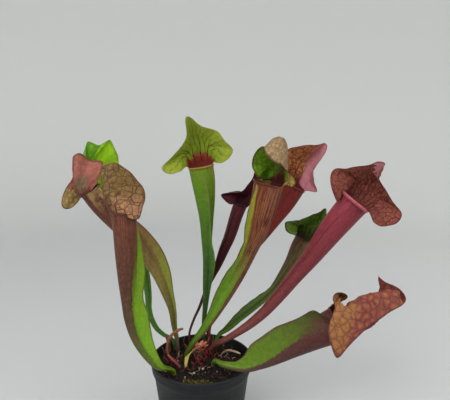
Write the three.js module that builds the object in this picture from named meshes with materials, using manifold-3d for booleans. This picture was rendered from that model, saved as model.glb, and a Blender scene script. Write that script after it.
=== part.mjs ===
// A trumpet pitcher plant in a round black nursery pot.
// Millimetres, +Z up. The origin is the middle of the pot's flat bottom, and -Y is the front.
// Ten pitchers rise from one crown. Each is a thin hollow trumpet with a wing (ala) down its front,
// a rolled lip round its mouth and a lobed, waved hood that grows from the back of the mouth.

import * as THREE from 'three';
import { mergeVertices } from 'three/addons/utils/BufferGeometryUtils.js';
import Module from 'manifold-3d';

const wasm = await Module();
wasm.setup();

// ---- driving dimensions -------------------------------------------------------------------------
const POT_HEIGHT = 90;
const POT_RIM_RADIUS = 52.5;
const POT_BODY_TOP_RADIUS = 49.8;
const POT_BASE_RADIUS = 39.5;
const POT_WALL = 1.5;
const RIM_BAND_HEIGHT = 10;
const DRAIN_HOLES = 8;
const DRAIN_HOLE_RADIUS = 4;
const DRAIN_HOLE_CIRCLE = 30;
const POT_SIDES = 36;

const SOIL_TOP = 82;
const SOIL_SIDES = 28;
const GAP = 0.3;
const FOOT_DEPTH = 10;
const FOOT_CLEAR = 3;

const TUBE_SIDES = 12;
const WALL = 0.9;
const LIP_ROLL = 1.0;
const WING_ROOT_ANGLE = THREE.MathUtils.degToRad(16);
const WING_EDGE = 0.9;

// ---- small helpers ------------------------------------------------------------------------------
function seeded(seed) {
  let state = seed >>> 0;
  return () => {
    state = (state + 0x6d2b79f5) >>> 0;
    let mixed = Math.imul(state ^ (state >>> 15), 1 | state);
    mixed = (mixed + Math.imul(mixed ^ (mixed >>> 7), 61 | mixed)) ^ mixed;
    return ((mixed ^ (mixed >>> 14)) >>> 0) / 4294967296;
  };
}

const vec = (x, y, z) => new THREE.Vector3(x, y, z);

// A surface under construction: points, and triangles that keep their faces pointing out.
class Skin {
  constructor() {
    this.points = [];
    this.faces = [];
  }

  row(list) {
    return list.map((point) => this.points.push(point) - 1);
  }

  triangle(a, b, c) {
    if (a !== b && b !== c && c !== a) this.faces.push([a, b, c]);
  }

  // Joins two rows that run the same way. Rows of unlike length are joined by their share of the way.
  join(lower, upper, closed = false) {
    const first = closed ? [...lower, lower[0]] : lower;
    const second = closed ? [...upper, upper[0]] : upper;
    let i = 0;
    let j = 0;
    while (i < first.length - 1 || j < second.length - 1) {
      const nextLower = (i + 1) / (first.length - 1);
      const nextUpper = (j + 1) / (second.length - 1);
      const stepLower = j >= second.length - 1 || (i < first.length - 1 && nextLower <= nextUpper + 1e-9);
      if (stepLower) {
        this.triangle(first[i], first[i + 1], second[j]);
        i += 1;
      } else {
        this.triangle(first[i], second[j + 1], second[j]);
        j += 1;
      }
    }
  }

  // Closes a ring with a point in its middle. With up true, the cap looks the way the rows climb.
  cap(ring, point, up) {
    const middle = this.points.push(point) - 1;
    ring.forEach((index, i) => {
      const next = ring[(i + 1) % ring.length];
      if (up) this.triangle(index, next, middle);
      else this.triangle(next, index, middle);
    });
  }

  geometry() {
    const geometry = new THREE.BufferGeometry();
    const flat = this.points.flatMap((point) => [point.x, point.y, point.z]);
    geometry.setAttribute('position', new THREE.Float32BufferAttribute(flat, 3));
    geometry.setIndex(this.faces.flat());
    return geometry;
  }
}

function toSolid(geometry) {
  const bare = geometry.clone();
  bare.deleteAttribute('normal');
  bare.deleteAttribute('uv');
  const merged = mergeVertices(bare, 1e-4);
  return new wasm.Manifold(new wasm.Mesh({
    numProp: 3,
    vertProperties: new Float32Array(merged.attributes.position.array),
    triVerts: new Uint32Array(merged.index.array),
  }));
}

function fromSolid(solid) {
  const mesh = solid.getMesh();
  const geometry = new THREE.BufferGeometry();
  geometry.setAttribute('position', new THREE.Float32BufferAttribute(Array.from(mesh.vertProperties), 3));
  geometry.setIndex(Array.from(mesh.triVerts));
  return geometry;
}

// A cut can free a loose scrap: only the largest piece stays.
function largest(solid) {
  return solid.decompose().reduce((best, piece) => (piece.volume() > best.volume() ? piece : best));
}

function moved(geometry, x, y, z) {
  return geometry.translate(x, y, z);
}

function smooth(points, share) {
  const curve = new THREE.CatmullRomCurve3(points, false, 'centripetal');
  return curve.getPoint(THREE.MathUtils.clamp(share, 0, 1));
}

// ---- a plain stem with a flattened or round section ---------------------------------------------
// path: [x, y, z, half width, half thickness]
function stem(path, across, sides = 6, rows = 6, straight = FOOT_DEPTH) {
  const skin = new Skin();
  const spine = path.map((p) => vec(p[0], p[1], p[2]));
  const sizes = path.map((p) => vec(p[3], p[4], 0));
  const rings = [];
  for (let j = straight ? -1 : 0; j <= rows; j += 1) {
    const share = Math.max(j, 0) / rows;
    const centre = smooth(spine, share);
    const size = smooth(sizes, share);
    const before = smooth(spine, Math.max(share - 0.02, 0));
    const after = smooth(spine, share + 0.02);
    const along = j <= 0 && straight ? vec(0, 0, 1) : after.sub(before).normalize();
    if (j < 0) centre.z -= straight;
    const side = across.clone().addScaledVector(along, -across.dot(along)).normalize();
    const out = along.clone().cross(side);
    const ring = [];
    for (let i = 0; i < sides; i += 1) {
      const angle = (i / sides) * Math.PI * 2;
      ring.push(centre.clone()
        .addScaledVector(side, Math.cos(angle) * size.x)
        .addScaledVector(out, Math.sin(angle) * size.y));
    }
    rings.push({ ring: skin.row(ring), centre, along, size });
  }
  for (let j = 0; j < rings.length - 1; j += 1) skin.join(rings[j].ring, rings[j + 1].ring, true);
  const top = rings[rings.length - 1];
  skin.cap(rings[0].ring, rings[0].centre, false);
  skin.cap(top.ring, top.centre.clone().addScaledVector(top.along, top.size.y * 0.6), true);
  return skin.geometry();
}

// ---- one pitcher --------------------------------------------------------------------------------
// path: the middle line from the soil to the mouth as [x, y, height, tube radius, wing width]
// faceLow, faceHigh: the way the wing points near the soil, and the way the mouth looks
// turn: how late the tube turns from the one to the other
// slope: how much lower the front of the lip is than its back, as a share of the radius
// corner: which of the tube's sides the hood starts from
// arch, spread: how far the hood first climbs along the tube, and how far it first leans out
// edge: points round the hood's edge from the middle of the mouth, as [x, y, z], and where the hood
// folds over, a point of the fold as well, as [x, y, z, fold x, fold y, fold z]
function pitcher(spec) {
  const skin = new Skin();
  const spine = spec.path.map((p) => vec(p[0], p[1], p[2]));
  const sizes = spec.path.map((p) => vec(p[3], p[4], 0));
  const faceLow = vec(...spec.faceLow).normalize();
  const faceHigh = vec(...spec.faceHigh).normalize();
  const spin = (TUBE_SIDES - 1);
  const angleOf = (i) => WING_ROOT_ANGLE + (i / spin) * (Math.PI * 2 - 2 * WING_ROOT_ANGLE);

  const frameAt = (share) => {
    const centre = smooth(spine, share);
    const size = smooth(sizes, share);
    const before = smooth(spine, Math.max(share - 0.02, 0));
    const after = smooth(spine, Math.min(share + 0.02, 1));
    const along = after.sub(before).normalize();
    if (share === 0) along.set(0, 0, 1);
    const blend = share ** (spec.turn ?? 1.5);
    const front = faceLow.clone().lerp(faceHigh, blend);
    front.addScaledVector(along, -front.dot(along)).normalize();
    const side = along.clone().cross(front);
    return { centre, radius: size.x, wing: Math.max(size.y, 0), along, front, side };
  };

  const ringPoint = (frame, radius, angle, lift = 0) => frame.centre.clone()
    .addScaledVector(frame.front, Math.cos(angle) * radius)
    .addScaledVector(frame.side, Math.sin(angle) * radius)
    .addScaledVector(frame.along, lift);

  const circle = (frame, radius, slope, lift) => {
    const ring = [];
    for (let i = 0; i < TUBE_SIDES; i += 1) {
      const angle = angleOf(i);
      ring.push(ringPoint(frame, radius, angle, lift - slope * radius * Math.cos(angle)));
    }
    return ring;
  };

  // The wing: a waist and a thin edge, between the last and the first side of the tube.
  const wing = (frame, radius, slope, lift, width) => {
    const root = Math.min(radius * Math.sin(WING_ROOT_ANGLE), 1.1);
    const waist = Math.max(Math.min(root * 0.8, 0.75), 0.4);
    const reach = radius + Math.max(width, 0.15);
    const neck = radius + Math.max(width, 0.15) * 0.3;
    const half = Math.min(WING_EDGE / 2, waist * 0.9);
    const rise = lift - slope * radius;
    const at = (out, across) => frame.centre.clone()
      .addScaledVector(frame.front, out)
      .addScaledVector(frame.side, across)
      .addScaledVector(frame.along, rise);
    return [at(neck, -waist), at(reach, -half), at(reach, half), at(neck, waist)];
  };

  // outer skin of the tube
  const rows = spec.rows ?? 11;
  const slope = spec.slope ?? 0;
  const rings = [];
  const foot = frameAt(0);
  const buried = { ...foot, centre: foot.centre.clone().add(vec(0, 0, -FOOT_DEPTH)) };
  rings.push(skin.row([...circle(buried, foot.radius, 0, 0), ...wing(buried, foot.radius, 0, 0, 0)]));
  for (let j = 0; j <= rows; j += 1) {
    const share = j / rows;
    const frame = frameAt(share);
    const tilt = slope * share ** 6;
    rings.push(skin.row([
      ...circle(frame, frame.radius, tilt, 0),
      ...wing(frame, frame.radius, tilt, 0, frame.wing),
    ]));
  }
  const mouth = frameAt(1);
  const lipRadius = mouth.radius + LIP_ROLL;
  const lipInner = mouth.radius - WALL * 0.6;
  const lip = skin.row([
    ...circle(mouth, lipRadius, slope, LIP_ROLL),
    ...wing(mouth, lipRadius, slope, LIP_ROLL, 0),
  ]);
  rings.push(lip);
  for (let j = 0; j < rings.length - 1; j += 1) skin.join(rings[j], rings[j + 1], true);
  skin.cap(rings[0], buried.centre, false);

  // inner skin of the tube, from the lip down
  const innerLip = skin.row(circle(mouth, lipInner, slope, LIP_ROLL));
  const innerRows = spec.innerRows ?? 4;
  const depth = spec.depth ?? 0.5;
  let last = innerLip;
  let bottom = mouth;
  for (let j = 0; j <= innerRows; j += 1) {
    const share = 1 - (j / innerRows) * depth;
    const frame = frameAt(share);
    const tilt = slope * share ** 6;
    const ring = skin.row(circle(frame, frame.radius - WALL, tilt, 0));
    skin.join(last, ring, true);
    last = ring;
    bottom = frame;
  }
  skin.cap(last, bottom.centre.clone().addScaledVector(bottom.along, -bottom.radius * 0.5), true);

  // the hood: rays from the back of the lip to the edge points
  const corner = spec.corner ?? 3;
  const far = TUBE_SIDES - 1 - corner;
  const angleFrom = angleOf(corner);
  const angleTo = angleOf(far);
  const arch = spec.arch ?? 0.55;
  const spread = spec.spread ?? 0.15;
  const edgePoints = spec.edge.map((e) => mouth.centre.clone().add(vec(e[0], e[1], e[2])));
  const startOf = (share) => {
    const angle = angleFrom + (angleTo - angleFrom) * share;
    return ringPoint(mouth, (lipRadius + lipInner) / 2, angle, LIP_ROLL - slope * mouth.radius * Math.cos(angle));
  };
  const pulls = spec.edge.map((e, i) => {
    const share = i / (spec.edge.length - 1);
    const start = startOf(share);
    const end = edgePoints[i];
    if (e.length > 3) {
      const fold = mouth.centre.clone().add(vec(e[3], e[4], e[5]));
      return fold.multiplyScalar(8).sub(start).sub(end).divideScalar(6);
    }
    const angle = angleFrom + (angleTo - angleFrom) * share;
    const length = start.distanceTo(end);
    const out = mouth.front.clone().multiplyScalar(Math.cos(angle)).addScaledVector(mouth.side, Math.sin(angle));
    return start.clone().addScaledVector(mouth.along, arch * length).addScaledVector(out, spread * length);
  });
  const columns = spec.columns ?? 19;
  const hoodRows = spec.hoodRows ?? 5;
  const ripple = spec.ripple ?? 0.8;
  const waves = spec.waves ?? 7;
  const sheet = [];
  for (let k = 0; k <= hoodRows; k += 1) {
    const v = k / hoodRows;
    const line = [];
    for (let c = 0; c < columns; c += 1) {
      const share = c / (columns - 1);
      const start = startOf(share);
      const end = smooth(edgePoints, share);
      const pull = smooth(pulls, share);
      const rest = 1 - v;
      line.push(start.multiplyScalar(rest ** 3)
        .addScaledVector(pull, 3 * rest * v)
        .addScaledVector(end, v ** 3));
    }
    sheet.push(line);
  }
  const normals = sheet.map((line, k) => line.map((point, c) => {
    const left = line[Math.max(c - 1, 0)];
    const right = line[Math.min(c + 1, columns - 1)];
    const below = sheet[Math.max(k - 1, 0)][c];
    const above = sheet[Math.min(k + 1, hoodRows)][c];
    return right.clone().sub(left).cross(above.clone().sub(below)).normalize();
  }));
  const outer = [lip.slice(corner, far + 1)];
  const inner = [innerLip.slice(corner, far + 1)];
  for (let k = 1; k <= hoodRows; k += 1) {
    const v = k / hoodRows;
    const outerLine = [];
    const innerLine = [];
    for (let c = 0; c < columns; c += 1) {
      const wave = ripple * v * v * Math.sin((c / (columns - 1)) * waves * Math.PI * 2);
      const middle = sheet[k][c].clone().addScaledVector(normals[k][c], wave);
      outerLine.push(middle.clone().addScaledVector(normals[k][c], WALL / 2));
      innerLine.push(middle.clone().addScaledVector(normals[k][c], -WALL / 2));
    }
    outer.push(skin.row(outerLine));
    inner.push(skin.row(innerLine));
  }
  for (let k = 0; k < hoodRows; k += 1) {
    skin.join(outer[k], outer[k + 1]);
    skin.join(inner[k + 1], inner[k]);
  }
  skin.join(outer[hoodRows], inner[hoodRows]);
  for (let k = 0; k < hoodRows; k += 1) {
    const a = outer[k][0];
    const b = outer[k + 1][0];
    const c = inner[k + 1][0];
    const d = inner[k][0];
    skin.triangle(a, b, c);
    skin.triangle(a, c, d);
    const e = outer[k].at(-1);
    const f = outer[k + 1].at(-1);
    const g = inner[k + 1].at(-1);
    const h = inner[k].at(-1);
    skin.triangle(e, h, g);
    skin.triangle(e, g, f);
  }
  // the front of the lip, between the hood's two corners
  const front = [...lip.slice(far), ...lip.slice(0, corner + 1)];
  const frontInner = [...innerLip.slice(far), ...innerLip.slice(0, corner + 1)];
  skin.join(front, frontInner);
  return skin.geometry();
}

// ---- the ten pitchers ---------------------------------------------------------------------------
// Heights are above the soil. The hood's edge runs from the corner on the right hand of someone
// who looks out of the mouth, round its tip, to the other corner.
const PITCHERS = {
  pitcher_front_left: {
    colour: 0x93683a,
    path: [
      [-27, -20, 3, 2.2, 0], [-32, -31, 12, 2.4, 1], [-39, -41, 19, 2.7, 3], [-48, -46, 32, 3.3, 7],
      [-58, -46, 49, 4.0, 12], [-64, -44, 68, 4.8, 14], [-66, -42, 86, 5.6, 10], [-67, -40, 110, 7.6, 12],
      [-67, -38, 133, 9.8, 7], [-67, -37, 153, 11.0, 2], [-68, -36, 166, 11.4, 0],
    ],
    faceLow: [0.92, 0.38, 0.2],
    faceHigh: [0.75, 0.66, 0],
    edge: [
      [-14, 8, 9], [-18, 10, 21], [-22, 9, 41], [-17, 10, 45], [-8, 12, 46], [0, 14, 41], [8, 15, 33],
      [15, 15, 24], [19, 10, 13], [17, 2, 6], [16, -6, -3], [11, -11, -3], [6, -13, 0],
    ],
  },
  pitcher_back_left: {
    colour: 0xa5795a,
    path: [
      [-27, 22, 3, 2.0, 0], [-30, 30, 15, 2.2, 1], [-33, 33, 27, 2.6, 1.5], [-35, 32, 46, 3.3, 2.5],
      [-41, 30, 66, 4.4, 5], [-49, 27, 88, 5.4, 10], [-58, 24, 107, 7.0, 11], [-72, 20, 130, 8.4, 8],
      [-88, 16, 149, 9.9, 3], [-102, 12, 167, 10.7, 1], [-111, 9, 181, 10.6, 0],
    ],
    faceLow: [0.8, -0.3, 0.4],
    faceHigh: [0.65, 0.6, 0.45],
    arch: 0.25,
    spread: 0.05,
    edge: [
      [-16, 5, -12], [-23, -3, -18], [-28, -7, -14], [-22, -9, 5], [-15, -7, 15], [-16, -3, 35],
      [-10, 1, 39], [0, 7, 31], [11, 9, 30], [10, 3, 20], [8, -5, 9],
    ],
  },
  pitcher_far_green: {
    colour: 0x9cb648,
    path: [
      [-31, 30, 3, 1.8, 0], [-35, 32.5, 11, 2.0, 0.5], [-45, 35, 15.5, 2.3, 1], [-54, 36, 24, 2.6, 1.5],
      [-61, 38, 41, 2.9, 1.5], [-62, 40, 60, 3.6, 1.5], [-65, 41, 83, 4.7, 2], [-72, 41, 106, 5.5, 3],
      [-82, 39, 129, 6.6, 3], [-92, 36, 152, 7.6, 2], [-101, 33, 171, 8.6, 0],
    ],
    faceLow: [0.8, -0.4, 0.3],
    faceHigh: [0.85, -0.45, 0.3],
    edge: [
      [7, 9, 7], [12, 11, 23], [11, 9, 36], [11, 7, 46], [7, 5, 56], [4, 3, 62], [-2, 3, 59],
      [-8, 3, 56], [-14, 1, 59], [-19, -1, 60], [-20, -3, 51], [-18, -5, 41], [-11, -7, 30],
      [-8, -9, 20], [-4, -9, 10],
    ],
  },
  pitcher_tall_green: {
    colour: 0x9aa83f,
    path: [
      [1, 36, 3, 1.8, 0], [0, 34, 21, 2.0, 0.5], [1, 32, 36, 2.2, 0.5], [3, 29, 58, 2.9, 1],
      [4, 27, 82, 3.6, 4], [5, 25, 105, 4.3, 8], [5, 23, 127, 5.6, 3], [5, 21, 149, 7.3, 1],
      [4, 20, 171, 10.1, 1], [2, 19, 192, 12.4, 0.5], [0, 18, 205, 12.8, 0],
    ],
    faceLow: [0.95, -0.3, 0],
    faceHigh: [0.1, -0.99, 0.1],
    columns: 23,
    edge: [
      [15, -6, 5], [21, -10, 5], [28, -12, 8], [33, -10, 18], [25, -4, 26], [20, 0, 34], [13, 4, 38],
      [3, 6, 41], [-5, 6, 45], [-11, 4, 51], [-16, 0, 51], [-14, 0, 39], [-15, -2, 31], [-21, -6, 19],
      [-29, -10, 10], [-39, -16, 1], [-35, -18, -4], [-26, -18, -6], [-19, -14, -3],
    ],
  },
  pitcher_dark: {
    colour: 0x4c2023,
    path: [
      [-16, 37, 3, 1.3, 0], [-16, 40, 15, 1.3, 0], [-11, 43, 30, 1.4, 0.4], [-5, 44, 43, 1.6, 0.5],
      [1, 45, 59, 2.0, 0.8], [9, 46, 77, 2.9, 1.5], [17, 46, 94, 4.3, 3], [23, 46, 110, 5.6, 3],
      [30, 46, 127, 6.5, 2], [37, 46, 150, 7.2, 1], [41, 46, 161, 7.7, 0],
    ],
    faceLow: [-0.5, -0.6, 0.5],
    faceHigh: [-0.5, -0.85, 0],
    columns: 15,
    hoodRows: 4,
    edge: [
      [10, -4, 2], [18, -6, 9], [24, -2, 19], [23, 4, 32], [17, 4, 38], [12, 0, 28], [5, -4, 19],
      [-5, -6, 14], [-13, -8, 15], [-21, -10, 13], [-17, -10, 6], [-9, -8, 2], [-8, 3, 3],
    ],
  },
  pitcher_middle: {
    colour: 0x8f7a3a,
    path: [
      [-17, 10, 3, 2.4, 0], [-13, 4, 14, 2.4, 1], [-6, -2, 27, 2.6, 1.5], [3, -4, 39, 3.2, 2.5],
      [13, -4, 54, 4.2, 4], [25, -3, 74, 5.5, 8], [36, -4, 94, 6.1, 9], [45, -6, 113, 6.5, 5],
      [51, -8, 129, 7.7, 3], [56, -9, 143, 9.8, 6], [60, -11, 161, 11.7, 6], [63, -12, 176, 13.3, 4],
      [66, -13, 191, 14.3, 0],
    ],
    faceLow: [-0.8, -0.3, 0.5],
    faceHigh: [-0.75, -0.6, 0.2],
    columns: 21,
    edge: [
      [18, -9, 3], [21, -11, -2], [25, -9, 2], [22, -7, 8], [16, -7, 14],
      [9, -21, 19, 17, -3, 25], [3, -25, 22, 17, -3, 34], [-2, -25, 25, 14, -3, 43],
      [-6, -21, 30, 7, 1, 43], [-6, -11, 36, 2, 7, 36],
      [-11, -3, 33], [-15, -1, 28], [-16, -1, 18], [-14, -3, 11], [-11, -5, 7], [-8, 2, 6], [-7, 10, 5],
    ],
  },
  pitcher_red: {
    colour: 0x9c4132,
    path: [
      [6, 42, 3, 2.3, 0], [6, 41, 20, 2.5, 0.5], [11, 37, 37, 3.2, 1], [20, 34, 56, 3.9, 2],
      [29, 32, 75, 4.7, 3], [39, 31, 94, 6.0, 3], [48, 30, 113, 7.6, 3], [60, 29, 131, 9.7, 3],
      [73, 28, 151, 12.0, 2], [86, 27, 170, 13.7, 1], [94, 26, 185, 14.7, 0],
    ],
    faceLow: [-0.8, -0.4, 0.4],
    faceHigh: [-0.2, -0.95, 0.2],
    columns: 21,
    edge: [
      [16, -6, -4], [26, -10, -5], [21, -10, 6], [21, -8, 15], [27, -6, 27], [37, 0, 39], [35, 2, 44],
      [26, 2, 43], [14, 2, 42], [4, 2, 41], [-5, 2, 37], [-9, 1, 31], [-14, -2, 21], [-16, -6, 9],
    ],
  },
  pitcher_great_red: {
    colour: 0x8f2f38,
    path: [
      [9, 22, 3, 2.6, 0], [14, 14, 14, 2.7, 1], [24, 6, 23, 3.0, 1.5], [40, 4, 34, 3.8, 2],
      [53, 5, 43, 4.6, 3], [66, 6, 55, 5.6, 3], [82, 6, 74, 6.6, 3], [97, 5, 94, 7.6, 4],
      [114, 3, 117, 9.6, 4], [129, 1, 140, 12.4, 2], [142, -1, 158, 13.9, 1], [152, -3, 171, 14.5, 0],
    ],
    faceLow: [-0.6, -0.3, 0.7],
    faceHigh: [-0.3, -0.92, 0.25],
    columns: 23,
    edge: [
      [16, -9, -17], [22, -13, -21], [29, -15, -20], [37, -15, -18], [43, -13, -9], [40, -9, -3],
      [34, -5, 5], [28, -3, 15], [23, -1, 24], [23, -3, 34], [26, -7, 40], [20, -1, 42], [13, 3, 37],
      [1, 3, 36], [-10, 3, 34], [-19, 1, 35], [-25, -3, 30], [-27, -9, 18], [-23, -11, 8],
      [-19, -11, 2], [-16, -1, 6], [-12, 7, 8],
    ],
  },
  pitcher_small: {
    colour: 0x58602c,
    path: [
      [13, 38, 3, 2.0, 0], [18, 38, 14, 2.2, 1], [28, 38, 21, 2.9, 4], [41, 38, 33, 3.4, 8],
      [55, 38, 45, 3.8, 11], [69, 37, 58, 4.0, 10], [80, 36, 71, 4.6, 4], [90, 35, 87, 6.0, 4],
      [98, 34, 101, 7.5, 3], [104, 33, 116, 8.6, 1], [109, 32, 127, 8.8, 0],
    ],
    faceLow: [-0.5, -0.5, 0.75],
    faceHigh: [-0.3, -0.93, 0.2],
    columns: 17,
    hoodRows: 4,
    edge: [
      [8, -7, 4], [16, -9, 11], [21, -9, 19], [23, -7, 26], [23, -5, 33], [20, -3, 33], [14, -1, 28],
      [6, -1, 25], [-2, -1, 22], [-7, -3, 17], [-14, -7, 18], [-22, -11, 20], [-22, -13, 14],
      [-17, -13, 8], [-9, -11, 5],
    ],
  },
  pitcher_low_front: {
    colour: 0xb0702f,
    path: [
      [12, -4, 3, 2.2, 0], [16, -16, 11, 2.3, 1], [22, -27, 13.5, 2.5, 2], [34, -33, 13.5, 2.7, 4],
      [47, -37, 15, 3.0, 12], [60, -40, 21, 3.8, 19], [73, -44, 30, 5.4, 19], [86, -48, 41, 8, 17],
      [97, -51, 50, 10.4, 12], [107, -54, 58, 12.5, 6], [117, -56, 65, 14.5, 5], [125, -57, 70, 15.5, 2],
    ],
    faceLow: [-0.3, 0.15, 0.95],
    faceHigh: [-0.1, -0.95, 0.3],
    turn: 12,
    columns: 29,
    ripple: 0.4,
    edge: [
      [16, 7, -9], [29, 11, 6], [42, 10, 31], [36, 9, 44], [42, 7, 37], [51, 3, 35], [56, -3, 31],
      [57, -9, 26], [51, -15, 23, 49, -5, 33], [39, -20, 20, 41, -8, 34], [29, -24, 14, 32, -10, 34],
      [20, -26, 10, 24, -11, 33], [12, -28, 3, 17, -13, 31], [3, -29, -6, 12, -14, 28],
      [-4, -30, -15, 8, -15, 26], [-8, -30, -18, 6, -16, 23], [-12, -29, -8, 3, -17, 22],
      [-15, -27, 3, 1, -16, 23], [-13, -24, 14, -1, -12, 25], [-7, -18, 22, 0, -3, 26], [-7, -10, 24],
      [-6, -4, 28], [0, 1, 30], [8, 3, 27], [11, 6, 21], [1, 9, 16],
    ],
  },
};

// ---- small dead and young growth between the pitchers -------------------------------------------
// [x, y, height, half width, half thickness]
const SMALL_GROWTH = {
  dead_petiole: {
    colour: 0x9b5a34,
    across: [1, 0, 0],
    path: [
      [-33, 2, 3, 1.6, 1.6], [-37, 6, 12, 1.6, 1.5], [-34, 12, 24, 1.7, 1.5], [-27, 16, 29, 1.8, 1.4],
      [-21, 19, 30, 1.6, 1.2],
    ],
  },
  red_shoot: {
    colour: 0xa33a2c,
    across: [0.4, 1, 0],
    path: [[-21, -12, 3, 2.0, 1.4], [-27, -9, 7, 2.0, 1.3], [-35, -4, 12, 1.3, 1.0]],
  },
  withered_leaf: {
    colour: 0xa79a4a,
    across: [0.7, 0.2, 0.6],
    path: [
      [-16, -8, 3, 1.6, 1.0], [-15, -4, 9, 2.4, 0.8], [-10, 1, 13, 2.8, 0.7], [-3, 6, 16, 1.2, 0.6],
    ],
  },
  dried_strand: {
    colour: 0xb99e74,
    across: [0, 0.3, 1],
    path: [[20, 14, 3, 1.0, 0.8], [27, 13, 8, 1.2, 0.7], [35, 12, 7, 1.2, 0.6], [41, 11, 5, 0.8, 0.5]],
  },
  young_shoot: {
    colour: 0x6d2a26,
    across: [1, 0.3, 0],
    path: [[-36, 18, 3, 1.2, 1.0], [-38, 21, 12, 1.1, 0.9], [-41, 23, 20, 0.7, 0.6]],
  },
};

// ---- the pot ------------------------------------------------------------------------------------
function innerWallRadius(height) {
  const share = height / (POT_HEIGHT - RIM_BAND_HEIGHT);
  return POT_BASE_RADIUS - POT_WALL + (POT_BODY_TOP_RADIUS - POT_BASE_RADIUS) * Math.min(share, 1);
}

function makePot() {
  const bandFoot = POT_HEIGHT - RIM_BAND_HEIGHT;
  const inside = innerWallRadius(bandFoot);
  const profile = [
    [0, 0],
    [POT_BASE_RADIUS - 1.2, 0],
    [POT_BASE_RADIUS, 1.2],
    [POT_BODY_TOP_RADIUS, bandFoot - 1.5],
    [POT_RIM_RADIUS - 0.9, bandFoot],
    [POT_RIM_RADIUS - 0.3, POT_HEIGHT - 3.6],
    [POT_RIM_RADIUS, POT_HEIGHT - 2.8],
    [POT_RIM_RADIUS, POT_HEIGHT - 0.6],
    [POT_RIM_RADIUS - 0.6, POT_HEIGHT],
    [POT_RIM_RADIUS - 1.8, POT_HEIGHT],
    [POT_RIM_RADIUS - 2.4, POT_HEIGHT - 0.8],
    [inside + 1.0, bandFoot + 0.8],
    [inside, bandFoot - 1.2],
    [innerWallRadius(3), 3],
    [innerWallRadius(1) - 1.5, POT_WALL],
    [0, POT_WALL],
  ].map(([x, y]) => new THREE.Vector2(x, y));
  const body = new THREE.LatheGeometry(profile, POT_SIDES);
  body.rotateX(Math.PI / 2);
  let solid = toSolid(body);
  for (let i = 0; i < DRAIN_HOLES; i += 1) {
    const angle = ((i + 0.5) / DRAIN_HOLES) * Math.PI * 2;
    const cutter = new THREE.CylinderGeometry(DRAIN_HOLE_RADIUS, DRAIN_HOLE_RADIUS, 6, 10);
    cutter.rotateX(Math.PI / 2);
    moved(cutter, Math.cos(angle) * DRAIN_HOLE_CIRCLE, Math.sin(angle) * DRAIN_HOLE_CIRCLE, 0.7);
    solid = solid.subtract(toSolid(cutter));
  }
  return fromSolid(solid);
}

// ---- the crown: a short rhizome with the cut, fleshy bases of old leaves ------------------------
const CROWN_PLACE = [-4, 21];
const CROWN_SIZE = [8.6, 11, 7];

function crownBody(grow) {
  const body = new THREE.SphereGeometry(1, 12, 7);
  body.rotateX(Math.PI / 2);
  body.scale(CROWN_SIZE[0] + grow, CROWN_SIZE[1] + grow, CROWN_SIZE[2] + grow);
  return moved(body, CROWN_PLACE[0], CROWN_PLACE[1], 0);
}

function makeCrown() {
  let solid = toSolid(crownBody(0));
  const random = seeded(11);
  for (let i = 0; i < 10; i += 1) {
    const angle = (i / 10) * Math.PI * 2 + random() * 0.4;
    const ring = i % 3 === 0 ? 0.25 : 0.6;
    const x = CROWN_PLACE[0] + Math.cos(angle) * CROWN_SIZE[0] * ring;
    const y = CROWN_PLACE[1] + Math.sin(angle) * CROWN_SIZE[1] * ring;
    const lean = 0.35 * ring * 10;
    const height = 7 + random() * 5;
    const scale = stem([
      [x, y, 1, 2.6, 1.5],
      [x + Math.cos(angle) * lean * 0.3, y + Math.sin(angle) * lean * 0.3, height * 0.6, 2.4, 1.2],
      [x + Math.cos(angle) * lean, y + Math.sin(angle) * lean, height, 1.6, 0.8],
    ], vec(-Math.sin(angle), Math.cos(angle), 0), 6, 2, 0);
    solid = solid.add(toSolid(scale));
  }
  return fromSolid(solid);
}

// ---- moss: low cushions that hold together ------------------------------------------------------
function makeMoss(grow) {
  const random = seeded(29);
  let solid = null;
  for (let i = 0; i < 12; i += 1) {
    const along = i / 11;
    const angle = -1.95 + along * 0.62;
    const radius = 39.5 + (i % 3 - 1) * 2.6;
    const size = 3.4 + random() * 1.2;
    const lump = new THREE.IcosahedronGeometry(1, 0);
    lump.scale(size + grow * 2, size + grow * 2, 2.2 + random() * 0.9 + grow * 2);
    moved(lump, Math.cos(angle) * radius, Math.sin(angle) * radius, 1.2);
    solid = solid ? solid.add(toSolid(lump)) : toSolid(lump);
  }
  return solid;
}

// ---- the soil -----------------------------------------------------------------------------------
function soilHeight(x, y) {
  const mound = 1.2 * Math.exp(-(x * x + y * y) / 900);
  const rough = 0.7 * Math.sin(x * 0.55 + 1.3) * Math.cos(y * 0.47) + 0.4 * Math.sin(x * 1.1 - y * 0.9);
  return mound + rough - 0.6;
}

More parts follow.
